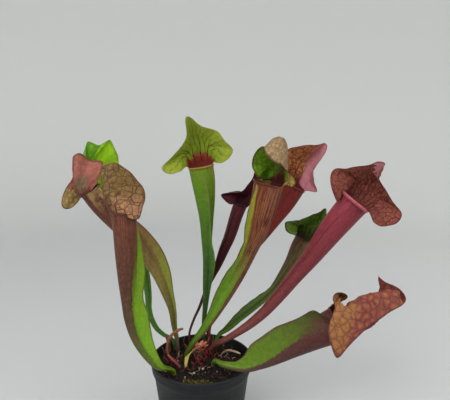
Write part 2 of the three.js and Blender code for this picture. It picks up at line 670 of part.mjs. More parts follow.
function makeSoil(feet) {
  const skin = new Skin();
  const ringAt = (radius, height) => {
    const ring = [];
    for (let i = 0; i < SOIL_SIDES; i += 1) {
      const angle = (i / SOIL_SIDES) * Math.PI * 2;
      const x = Math.cos(angle) * radius;
      const y = Math.sin(angle) * radius;
      ring.push(vec(x, y, height ?? soilHeight(x, y)));
    }
    return skin.row(ring);
  };
  const floor = POT_WALL + GAP - SOIL_TOP;
  const low = 4 - SOIL_TOP;
  // a many-sided ring is set in so that its flat sides stay clear of the round wall
  const inset = GAP + 0.35;
  const rings = [
    ringAt(innerWallRadius(1) - 1.8 - inset, floor),
    ringAt(innerWallRadius(4) - inset - 0.3, low),
    ringAt(innerWallRadius(76) - inset - 0.3, -6),
    ringAt(innerWallRadius(80) - inset - 0.4),
  ];
  [37, 26, 14].forEach((radius) => rings.push(ringAt(radius)));
  for (let j = 0; j < rings.length - 1; j += 1) skin.join(rings[j], rings[j + 1], true);
  skin.cap(rings[0], vec(0, 0, floor), false);
  skin.cap(rings.at(-1), vec(0, 0, soilHeight(0, 0)), true);
  let solid = toSolid(skin.geometry());
  // perlite grit and bark crumbs, half sunk in the surface
  const random = seeded(7);
  const placed = [[-20, 2], [-10, 0], [6, -20], [-6, -22], [24, -6], [31, -12]];
  while (placed.length < 12) {
    const angle = random() * Math.PI * 2;
    const radius = Math.sqrt(random()) * 42;
    const x = Math.cos(angle) * radius;
    const y = Math.sin(angle) * radius;
    const clear = feet.every((foot) => Math.hypot(foot[0] - x, foot[1] - y) > foot[2] + 4.5);
    if (clear) placed.push([x, y]);
  }
  placed.forEach(([x, y], i) => {
    const grain = new THREE.IcosahedronGeometry(1.3 + random() * 0.9, 0);
    grain.scale(1.2, 0.95, 0.8);
    grain.rotateZ(i * 1.7);
    moved(grain, x, y, soilHeight(x, y) + 0.2);
    solid = solid.add(toSolid(grain));
  });
  // plain holes for the feet, and seats for the crown and the moss
  feet.forEach(([x, y, radius]) => {
    const depth = FOOT_DEPTH + GAP - FOOT_CLEAR;
    const hole = new THREE.CylinderGeometry(radius + GAP + 0.1, radius + GAP + 0.1, depth + 8, 8);
    hole.rotateX(Math.PI / 2);
    moved(hole, x, y, -depth + (depth + 8) / 2);
    solid = solid.subtract(toSolid(hole));
  });
  solid = solid.subtract(toSolid(crownBody(GAP + 0.25)));
  solid = solid.subtract(makeMoss(GAP + 0.2));
  return fromSolid(largest(solid));
}

// ---- the assembly -------------------------------------------------------------------------------
function addMesh(parent, name, geometry, colour, roughness) {
  geometry.computeVertexNormals();
  const material = new THREE.MeshStandardMaterial({ color: colour, roughness, metalness: 0 });
  const mesh = new THREE.Mesh(geometry, material);
  mesh.name = name;
  parent.add(mesh);
  return mesh;
}

const pottedPlant = new THREE.Group();
addMesh(pottedPlant, 'pot', makePot(), 0x26282a, 0.55);

const planting = new THREE.Group();
planting.position.z = SOIL_TOP;
pottedPlant.add(planting);

const feet = [];
for (const [name, spec] of Object.entries(PITCHERS)) {
  addMesh(planting, name, pitcher(spec), spec.colour, 0.5);
  const [x, y, , radius] = spec.path[0];
  feet.push([x, y, radius]);
}
for (const [name, spec] of Object.entries(SMALL_GROWTH)) {
  addMesh(planting, name, stem(spec.path, vec(...spec.across).normalize()), spec.colour, 0.7);
  const [x, y, , width, thickness] = spec.path[0];
  feet.push([x, y, Math.max(width, thickness)]);
}
addMesh(planting, 'crown', makeCrown(), 0xa8492a, 0.55);
addMesh(planting, 'moss', fromSolid(makeMoss(0)), 0x6f7d33, 0.9);
addMesh(planting, 'soil', makeSoil(feet), 0x3b2a1f, 0.95);

export default pottedPlant;
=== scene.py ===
# %% [markdown]
# # A potted pitcher plant
# This script dresses a plain CAD model of a trumpet pitcher plant in a round nursery pot. The CAD
# solids give every leaf its place and its outline. Here each of them gets a finer mesh of the same
# form, with a rolled lip, a puffed net of veins and thin edges, and a finish of its own.
# Lengths are written in millimetres, as on a drawing, and MM turns them to Blender's metres.
# The origin is the middle of the pot's flat bottom, +Z is up and -Y is the front.

# %% Load the CAD frame
import functools
import math
import random

import bmesh
import bpy
import numpy as np
from mathutils import Euler, Matrix, Vector, noise


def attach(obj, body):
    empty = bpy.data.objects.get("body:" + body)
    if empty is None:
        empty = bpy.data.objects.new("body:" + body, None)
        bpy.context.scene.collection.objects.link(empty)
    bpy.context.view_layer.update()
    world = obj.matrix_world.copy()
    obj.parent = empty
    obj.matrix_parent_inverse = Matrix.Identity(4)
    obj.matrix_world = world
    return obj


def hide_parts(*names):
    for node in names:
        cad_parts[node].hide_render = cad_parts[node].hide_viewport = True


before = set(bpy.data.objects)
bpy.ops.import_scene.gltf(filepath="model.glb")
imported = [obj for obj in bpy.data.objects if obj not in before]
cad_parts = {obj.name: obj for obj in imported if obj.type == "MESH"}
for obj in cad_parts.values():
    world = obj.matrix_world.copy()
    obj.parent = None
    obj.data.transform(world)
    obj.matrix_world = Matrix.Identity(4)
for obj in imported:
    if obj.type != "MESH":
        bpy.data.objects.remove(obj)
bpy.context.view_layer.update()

MM = 0.001
print("CAD nodes:", ", ".join(sorted(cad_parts)))

# %% [markdown]
# ## The camera
# The photograph looks at the plant from a little above the leaves, with a slight downward tilt,
# from about 42 cm away. The camera stands where the known height of the pot and the ellipse of its
# rim put it. It is made first, because it doesn't depend on anything else.

# %% Camera
CAMERA_PLACE = (24.4, -422.0, 318.0)
CAMERA_TILT = math.radians(90 - 8.4)
PICTURE_WIDTH = 450
FOCAL_PIXELS = 430.0

bpy.ops.object.select_all(action="DESELECT")
bpy.ops.object.camera_add(
    location=[value * MM for value in CAMERA_PLACE], rotation=(CAMERA_TILT, 0, 0)
)
camera = bpy.context.object
camera.name = "camera"
camera.data.sensor_width = 36
camera.data.lens = 36 * FOCAL_PIXELS / PICTURE_WIDTH
camera.data.clip_start, camera.data.clip_end = 0.01, 20
bpy.context.scene.camera = camera
print("camera lens:", round(camera.data.lens, 2), "mm")

# %% [markdown]
# ## Small tools
# A finish is a tree of nodes, so one function adds a node with its settings, values and links. It
# sets the inputs by another function, which also serves the shader at the end of a tree.
# Colours are written as the sRGB hex values a designer would pick, and one function turns them to
# the linear numbers that Blender's shaders work in.

# %% Colours and nodes
def linear(hex_colour):
    """The linear colour of an sRGB hex value such as '#7c9a22'."""
    parts = [int(hex_colour[i:i + 2], 16) / 255 for i in (1, 3, 5)]
    return [p / 12.92 if p <= 0.04045 else ((p + 0.055) / 1.055) ** 2.4 for p in parts] + [1.0]


def set_inputs(tree, node, inputs):
    """Sets inputs, keyed by name or number, or listed in order. Each is a value, an sRGB colour, a
    socket, or a node whose first output in use is taken."""
    if isinstance(inputs, (list, tuple)):
        inputs = dict(enumerate(inputs))
    for key, value in inputs.items():
        if isinstance(value, bpy.types.Node):
            value = next(output for output in value.outputs if output.enabled)
        if isinstance(value, bpy.types.NodeSocket):
            tree.links.new(value, node.inputs[key])
        else:
            node.inputs[key].default_value = linear(value) if str(value).startswith("#") else value


def add_node(tree, kind, inputs=(), stops=(), **settings):
    """Adds a node with its settings and inputs and, if it is a colour ramp, its stops."""
    made = tree.nodes.new(kind)
    for key, value in settings.items():
        setattr(made, key, value)
    set_inputs(tree, made, inputs)
    for number, (place, colour) in enumerate(stops):
        points = made.color_ramp.elements
        point = points[number] if number < 2 else points.new(place)
        point.position, point.color = place, linear(colour)
    return made


def new_material(name):
    """A material with one Principled shader, what adds a node to it, the place of a point in its
    object, and what sets the shader's inputs."""
    material = bpy.data.materials.new(name)
    material.use_nodes = True
    tree = material.node_tree
    tree.nodes.clear()
    put = functools.partial(add_node, tree)
    shader = put("ShaderNodeBsdfPrincipled")
    put("ShaderNodeOutputMaterial", {"Surface": shader})
    place = put("ShaderNodeTexCoord").outputs["Object"]
    return material, put, place, functools.partial(set_inputs, tree, shader)


# %% Curves and random numbers
def along_curve(points, share):
    """A point of the smooth curve through the points, with share from 0 to 1 (Catmull-Rom)."""
    points = np.asarray(points, float)
    last = len(points) - 1
    place = min(max(share, 0.0), 1.0) * last
    i = min(int(place), last - 1)
    t = place - i
    p1, p2 = points[i], points[i + 1]
    p0 = points[i - 1] if i > 0 else 2 * p1 - p2
    p3 = points[i + 2] if i + 2 <= last else 2 * p2 - p1
    d0, d1, d2 = (math.sqrt(np.linalg.norm(b - a)) for a, b in ((p0, p1), (p1, p2), (p2, p3)))
    d1 = d1 if d1 > 1e-4 else 1.0
    d0 = d0 if d0 > 1e-4 else d1
    d2 = d2 if d2 > 1e-4 else d1
    m1 = ((p1 - p0) / d0 - (p2 - p0) / (d0 + d1) + (p2 - p1) / d1) * d1
    m2 = ((p2 - p1) / d1 - (p3 - p1) / (d1 + d2) + (p3 - p2) / d2) * d1
    return (p1 + m1 * t + (-3 * p1 + 3 * p2 - 2 * m1 - m2) * t**2
            + (2 * p1 - 2 * p2 + m1 + m2) * t**3)


def unit(vector):
    """The vector at length 1."""
    return np.asarray(vector, float) / max(np.linalg.norm(vector), 1e-9)


def seeded(seed):
    """A row of random numbers from a seed, the same as the CAD model's."""
    word = 0xFFFFFFFF
    state = [seed & word]

    def draw():
        state[0] = (state[0] + 0x6D2B79F5) & word
        s = state[0]
        mixed = ((s ^ (s >> 15)) * (1 | s)) & word
        mixed = (((mixed + (((mixed ^ (mixed >> 7)) * (61 | mixed)) & word)) & word) ^ mixed)
        return (mixed ^ (mixed >> 14)) / 4294967296

    return draw


# %% Modelling by hand: rings that are pulled out one from another
def add_object(add, **settings):
    """Adds a primitive, the only object that is selected then."""
    bpy.ops.object.select_all(action="DESELECT")
    add(**settings)
    return bpy.context.object


def start_ring(name, corners, centre):
    """A circle primitive near its place, left in edit mode with all of it selected."""
    piece = add_object(bpy.ops.mesh.primitive_circle_add, vertices=corners, radius=5 * MM,
                       location=centre)
    piece.name = piece.data.name = name
    bpy.ops.object.transform_apply(location=True, rotation=True, scale=True)
    bpy.ops.object.mode_set(mode="EDIT")
    mesh = bmesh.from_edit_mesh(piece.data)
    side = mesh.verts.layers.int.new("side")
    mesh.verts.layers.int.new("ring")
    mesh.verts.ensure_lookup_table()
    for index, corner in enumerate(mesh.verts):
        corner[side] = index
    bmesh.update_edit_mesh(piece.data)
    bpy.ops.mesh.select_all(action="SELECT")
    return piece


def note_facts(corner, layers, facts, index):
    """Writes down at a corner what the finish will ask of it."""
    for key, layer in layers.items():
        value = facts[key]
        corner[layer] = float(value if np.isscalar(value) else value[index])


def lay_ring(piece, ring, places, facts=None):
    """Moves each selected corner to its place, and writes down what the finish will ask of it."""
    mesh = bmesh.from_edit_mesh(piece.data)
    side, ring_of = mesh.verts.layers.int["side"], mesh.verts.layers.int["ring"]
    layers = {}
    for key in facts or {}:
        layers[key] = mesh.verts.layers.float.get(key) or mesh.verts.layers.float.new(key)
    for corner in mesh.verts:
        if corner.select:
            index = corner[side]
            corner.co = places[index]
            corner[ring_of] = ring
            note_facts(corner, layers, facts, index)
    bmesh.update_edit_mesh(piece.data)


def pull_ring(piece, ring, places, facts=None):
    """Extrudes the selected ring by nothing, and lays the new one."""
    bpy.ops.mesh.extrude_edges_move(TRANSFORM_OT_translate={"value": (0, 0, 0)})
    lay_ring(piece, ring, places, facts)


def close_ring(piece):
    """Extrudes the selected ring once more and merges it into the pole that closes the shape."""
    bpy.ops.mesh.extrude_edges_move(TRANSFORM_OT_translate={"value": (0, 0, 0)})
    bpy.ops.mesh.merge(type="CENTER")


def select_corners(piece, ring):
    """Selects a whole ring by its number."""
    bpy.ops.mesh.select_mode(type="VERT")
    bpy.ops.mesh.select_all(action="DESELECT")
    mesh = bmesh.from_edit_mesh(piece.data)
    ring_of = mesh.verts.layers.int["ring"]
    for corner in mesh.verts:
        corner.select_set(corner[ring_of] == ring)
    mesh.select_flush_mode()
    mesh.select_flush(True)
    bmesh.update_edit_mesh(piece.data)


def close_ends(piece):
    """Closes the ring that is selected and then the first one."""
    close_ring(piece)
    select_corners(piece, 0)
    close_ring(piece)


def leave_edit(piece):
    """Turns all faces outwards and goes back to object mode."""
    bpy.ops.mesh.select_all(action="SELECT")
    bpy.ops.mesh.normals_make_consistent(inside=False)
    bpy.ops.object.mode_set(mode="OBJECT")


def apply_modifier(piece, kind, **settings):
    """Adds a modifier with its settings and applies it."""
    bpy.context.view_layer.objects.active = piece
    modifier = piece.modifiers.new(kind.title(), kind)
    for key, value in settings.items():
        setattr(modifier, key, value)
    bpy.ops.object.modifier_apply(modifier=modifier.name)


def join_copies(name, pieces):
    """Joins finished copies into one piece."""
    bpy.ops.object.select_all(action="DESELECT")
    for piece in pieces:
        piece.select_set(True)
    bpy.context.view_layer.objects.active = pieces[0]
    if len(pieces) > 1:
        bpy.ops.object.join()
    joined = bpy.context.object
    joined.name = joined.data.name = name
    bpy.ops.object.transform_apply(location=True, rotation=True, scale=True)
    return joined


def finish_piece(piece, material, replaced=None):
    """Gives a piece its finish and its body, and hides the CAD node that it stands for."""
    bpy.ops.object.select_all(action="DESELECT")
    piece.select_set(True)
    bpy.context.view_layer.objects.active = piece
    bpy.ops.object.shade_smooth()
    piece.data.materials.clear()
    piece.data.materials.append(material)
    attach(piece, "root")
    if replaced:
        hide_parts(replaced)
    print(f"{piece.name}: {len(piece.data.polygons)} faces, finish {material.name}")


# %% [markdown]
# ## The room
# The plant was photographed in front of a plain pale wall in soft light. A round floor whose rim
# curves up on all sides does the work of floor and wall at once and looks the same from every side.
# It is a disc whose rim is pulled out and up in steps, as a paper roll hangs in a studio.

# %% Floor and backdrop
FLOOR_RADIUS = 1.1
COVE_RADIUS = 0.9
COVE_STEPS = 12
WALL_TOP = 3.0

floor = add_object(bpy.ops.mesh.primitive_circle_add, vertices=96, radius=FLOOR_RADIUS,
                   fill_type="NGON")
floor.name = "studio_floor"
bpy.ops.object.mode_set(mode="EDIT")
bpy.ops.mesh.select_all(action="SELECT")
bpy.ops.mesh.region_to_loop()
reach, height = FLOOR_RADIUS, 0.0
for step in range(1, COVE_STEPS + 1):
    turn = step / COVE_STEPS * math.pi / 2
    new_reach = FLOOR_RADIUS + COVE_RADIUS * math.sin(turn)
    new_height = COVE_RADIUS * (1 - math.cos(turn))
    bpy.ops.mesh.extrude_edges_move(
        TRANSFORM_OT_translate={"value": (0, 0, new_height - height)})
    bpy.ops.transform.resize(
        value=(new_reach / reach, new_reach / reach, 1), center_override=(0, 0, new_height))
    reach, height = new_reach, new_height
bpy.ops.mesh.extrude_edges_move(TRANSFORM_OT_translate={"value": (0, 0, WALL_TOP - height)})
bpy.ops.object.mode_set(mode="OBJECT")
bpy.ops.object.shade_smooth()

# Painted shade: the paper is painted darker left of the middle, near the plant, and lighter
# further out, as the plant's soft shadow and the fall-off of the lamps would make it.
paper, put, place, dress = new_material("studio_paper_matt")
from_middle = put("ShaderNodeVectorMath", [place, (-0.3, 0.2, 0.0)], operation="DISTANCE")
away_from_painted_shade = put("ShaderNodeMapRange", [from_middle, 0.15, 1.9], interpolation_type="SMOOTHSTEP")
fibres_seen = put("ShaderNodeTexNoise", {"Vector": place, "Scale": 1 / (1.5 * MM), "Detail": 4.0})
paper_with_painted_shade = put("ShaderNodeMix", {0: away_from_painted_shade, 6: "#bebfbf", 7: "#dedfdd"}, data_type="RGBA")
paper_bump = put("ShaderNodeBump", {"Strength": 0.1, "Distance": 0.1 * MM, "Height": fibres_seen})
dress({"Base Color": paper_with_painted_shade, "Normal": paper_bump, "Roughness": 0.95, "Specular IOR Level": 0.1})
floor.data.materials.append(paper)
print("floor faces:", len(floor.data.polygons))

# %% [markdown]
# ## The light
# A big soft panel hangs over the plant, to the left and in front, as a window does. A weaker one on
# the right opens the shadows, and the pale sky above the room fills in the rest.

# %% Lights
LIGHTS = {
    "window_panel": ((-0.55, -0.75, 1.15), (1.0, 1.0), 15.0),
    "fill_panel": ((0.9, -0.5, 0.8), (0.9, 0.9), 6.0),
}
for name, (place, size, power) in LIGHTS.items():
    lamp = add_object(bpy.ops.object.light_add, type="AREA", location=place)
    lamp.name = name
    lamp.rotation_euler = (-Vector(place) + Vector((0, 0, 0.2))).to_track_quat("-Z", "Y").to_euler()
    lamp.data.shape = "RECTANGLE"
    lamp.data.size, lamp.data.size_y = size
    lamp.data.energy = power

world = bpy.data.worlds.new("pale_room")
bpy.context.scene.world = world
world.use_nodes = True
set_inputs(world.node_tree, world.node_tree.nodes["Background"], ["#f2f4f5", 0.9])
bpy.context.scene.view_settings.view_transform = "Standard"
print("lights:", ", ".join(LIGHTS))

# %% [markdown]
# ## The pot
# A nursery pot is thin-walled polypropylene, black with a little grey, moulded in one shot. It has
# a rim band that steps out from the tapered wall and a floor with drain holes. It is pulled up ring
# by ring from a circle, as one would model it by hand: extrude, then scale. The drain holes are cut
# by a Boolean modifier.

# %% Pot shape
POT_HEIGHT = 90
POT_RIM = 52.5
POT_BODY_TOP = 49.8
POT_BASE = 39.5
POT_WALL = 1.5
BAND_FOOT = 80
POT_SIDES = 96


def inside_radius(height):
    """The inner radius of the tapered wall at a height."""
    return POT_BASE - POT_WALL + (POT_BODY_TOP - POT_BASE) * min(height / BAND_FOOT, 1)


POT_RINGS = [
    (30, 0.0), (POT_BASE - 2.6, 0.0), (POT_BASE - 1.0, 0.25), (POT_BASE - 0.2, 1.2),
    (POT_BASE + 0.5, 4), (POT_BASE + 2.9, 22), (POT_BASE + 5.3, 41), (POT_BASE + 7.7, 60),
    (POT_BODY_TOP - 0.45, BAND_FOOT - 4.6), (POT_BODY_TOP + 0.1, BAND_FOOT - 3.4),
    (POT_BODY_TOP + 0.9, BAND_FOOT - 2.0), (POT_RIM - 1.35, BAND_FOOT - 0.7),
    (POT_RIM - 1.0, BAND_FOOT + 0.1), (POT_RIM - 0.9, BAND_FOOT + 1.2),
    (POT_RIM - 0.65, POT_HEIGHT - 5.6), (POT_RIM - 0.62, POT_HEIGHT - 5.0),
    (POT_RIM - 0.3, POT_HEIGHT - 4.7), (POT_RIM - 0.28, POT_HEIGHT - 3.5),
    (POT_RIM - 0.05, POT_HEIGHT - 3.1), (POT_RIM, POT_HEIGHT - 2.4),
    (POT_RIM, POT_HEIGHT - 0.9), (POT_RIM - 0.15, POT_HEIGHT - 0.35),
    (POT_RIM - 0.5, POT_HEIGHT), (POT_RIM - 1.6, POT_HEIGHT), (POT_RIM - 2.1, POT_HEIGHT - 0.5),
    (POT_RIM - 2.4, POT_HEIGHT - 1.5), (inside_radius(80) + 1.4, BAND_FOOT + 2.0),
    (inside_radius(80) + 0.9, BAND_FOOT + 0.6), (inside_radius(79), BAND_FOOT - 1.4),
    (inside_radius(60), 60), (inside_radius(30), 30), (inside_radius(4), 4),
    (inside_radius(1) - 2.4, POT_WALL), (30, POT_WALL),
]


def circle_of(radius, height, sides):
    """The corners of a level ring, in metres."""
    turns = [i / sides * 2 * math.pi for i in range(sides)]
    return [(math.cos(t) * radius * MM, math.sin(t) * radius * MM, height * MM) for t in turns]


pot = start_ring("nursery_pot", POT_SIDES, (0, 0, 0))
lay_ring(pot, 0, circle_of(*POT_RINGS[0], POT_SIDES))
for number, (radius, height) in enumerate(POT_RINGS[1:], 1):
    pull_ring(pot, number, circle_of(radius, height, POT_SIDES))
close_ends(pot)
leave_edit(pot)
print("pot rings:", len(POT_RINGS))

# %% Drain holes
DRAIN_HOLES = 8
DRAIN_RADIUS = 4
DRAIN_CIRCLE = 30

cutters = []
for hole in range(DRAIN_HOLES):
    turn = (hole + 0.5) / DRAIN_HOLES * 2 * math.pi
    x, y = math.cos(turn) * DRAIN_CIRCLE, math.sin(turn) * DRAIN_CIRCLE
    cutters.append(add_object(
        bpy.ops.mesh.primitive_cylinder_add, vertices=24, radius=DRAIN_RADIUS * MM, depth=6 * MM,
        location=(x * MM, y * MM, 0.7 * MM)))
drills = join_copies("drain_drills", cutters)
apply_modifier(pot, "BOOLEAN", object=drills, operation="DIFFERENCE", solver="EXACT")
bpy.data.objects.remove(drills)
apply_modifier(pot, "BEVEL", width=0.12 * MM, segments=1, angle_limit=math.radians(50))
print("pot faces after the holes:", len(pot.data.polygons))

# %% [markdown]
# ### Injection-moulded polypropylene
# Polypropylene has a low, waxy gloss, with a roughness from 0.45 to 0.65. The black is a charcoal
# with fine flow streaks round the wall. Handling has greyed it, and dried peat and lime have left
# pale specks. The mould's matt texture is about 0.3 mm across. It is drawn at 0.6 mm, so that it
# shows.

# %% Pot finish
def moulded_polypropylene():
    """Charcoal plastic with scuffs, dust and pale dried specks."""
    material, put, place, dress = new_material("polypropylene_moulded_charcoal")
    round_streaks = put("ShaderNodeMapping", {"Vector": place, "Scale": (1, 1, 9)})
    streak = put("ShaderNodeTexNoise", {"Vector": round_streaks, "Scale": 1 / (24 * MM),
                                        "Detail": 5.0})
    plastic = put("ShaderNodeValToRGB", [streak],
                  stops=[(0.3, "#0c0c0e"), (0.55, "#121215"), (0.75, "#1c1c20")])
    dust = put("ShaderNodeTexNoise", {"Vector": place, "Scale": 1 / (7 * MM), "Detail": 8.0,
                                      "Roughness": 0.7})
    dusty = put("ShaderNodeMapRange", [dust, 0.55, 0.8, 0, 0.16])
    greyed = put("ShaderNodeMix", {0: dusty, 6: plastic, 7: "#6d6c69"}, data_type="RGBA")
    grit = put("ShaderNodeTexVoronoi", {"Vector": place, "Scale": 1 / (6 * MM)})
    speck = put("ShaderNodeMapRange", [grit, 0.06, 0.1, 1, 0])
    rare = put("ShaderNodeMath", [grit.outputs["Color"], 0.8], operation="GREATER_THAN")
    shown = put("ShaderNodeMath", [speck, rare], operation="MULTIPLY")
    specked = put("ShaderNodeMix", {0: shown, 6: greyed, 7: "#a09d95"}, data_type="RGBA")
    gloss = put("ShaderNodeMapRange", [dust, 0, 1, 0.45, 0.65])
    grain = put("ShaderNodeTexNoise", {"Vector": place, "Scale": 1 / (0.6 * MM), "Detail": 2.0})
    bump = put("ShaderNodeBump", {"Strength": 0.25, "Distance": 0.05 * MM, "Height": grain})
    dress({"Base Color": specked, "Roughness": gloss, "Normal": bump, "IOR": 1.49,
           "Specular IOR Level": 0.3})
    return material


finish_piece(pot, moulded_polypropylene(), "pot")

# %% [markdown]
# ## The shape of a pitcher
# Each leaf is a funnel rolled from one blade. A thin wing, the ala, runs down its front. The front
# of the mouth has a rolled lip, where insects lose their grip, and behind it the blade goes on as a
# neck and a waved hood with a tip. The middle line of every leaf is given as points from the soil
# to the mouth, with the tube's radius and the wing's width, and the hood's edge as points round it.
# These are the CAD's values, so the fine leaf lies where the CAD leaf does. Only the great red
# leaf's lip and the top of the low front leaf's wing are a little fuller here.

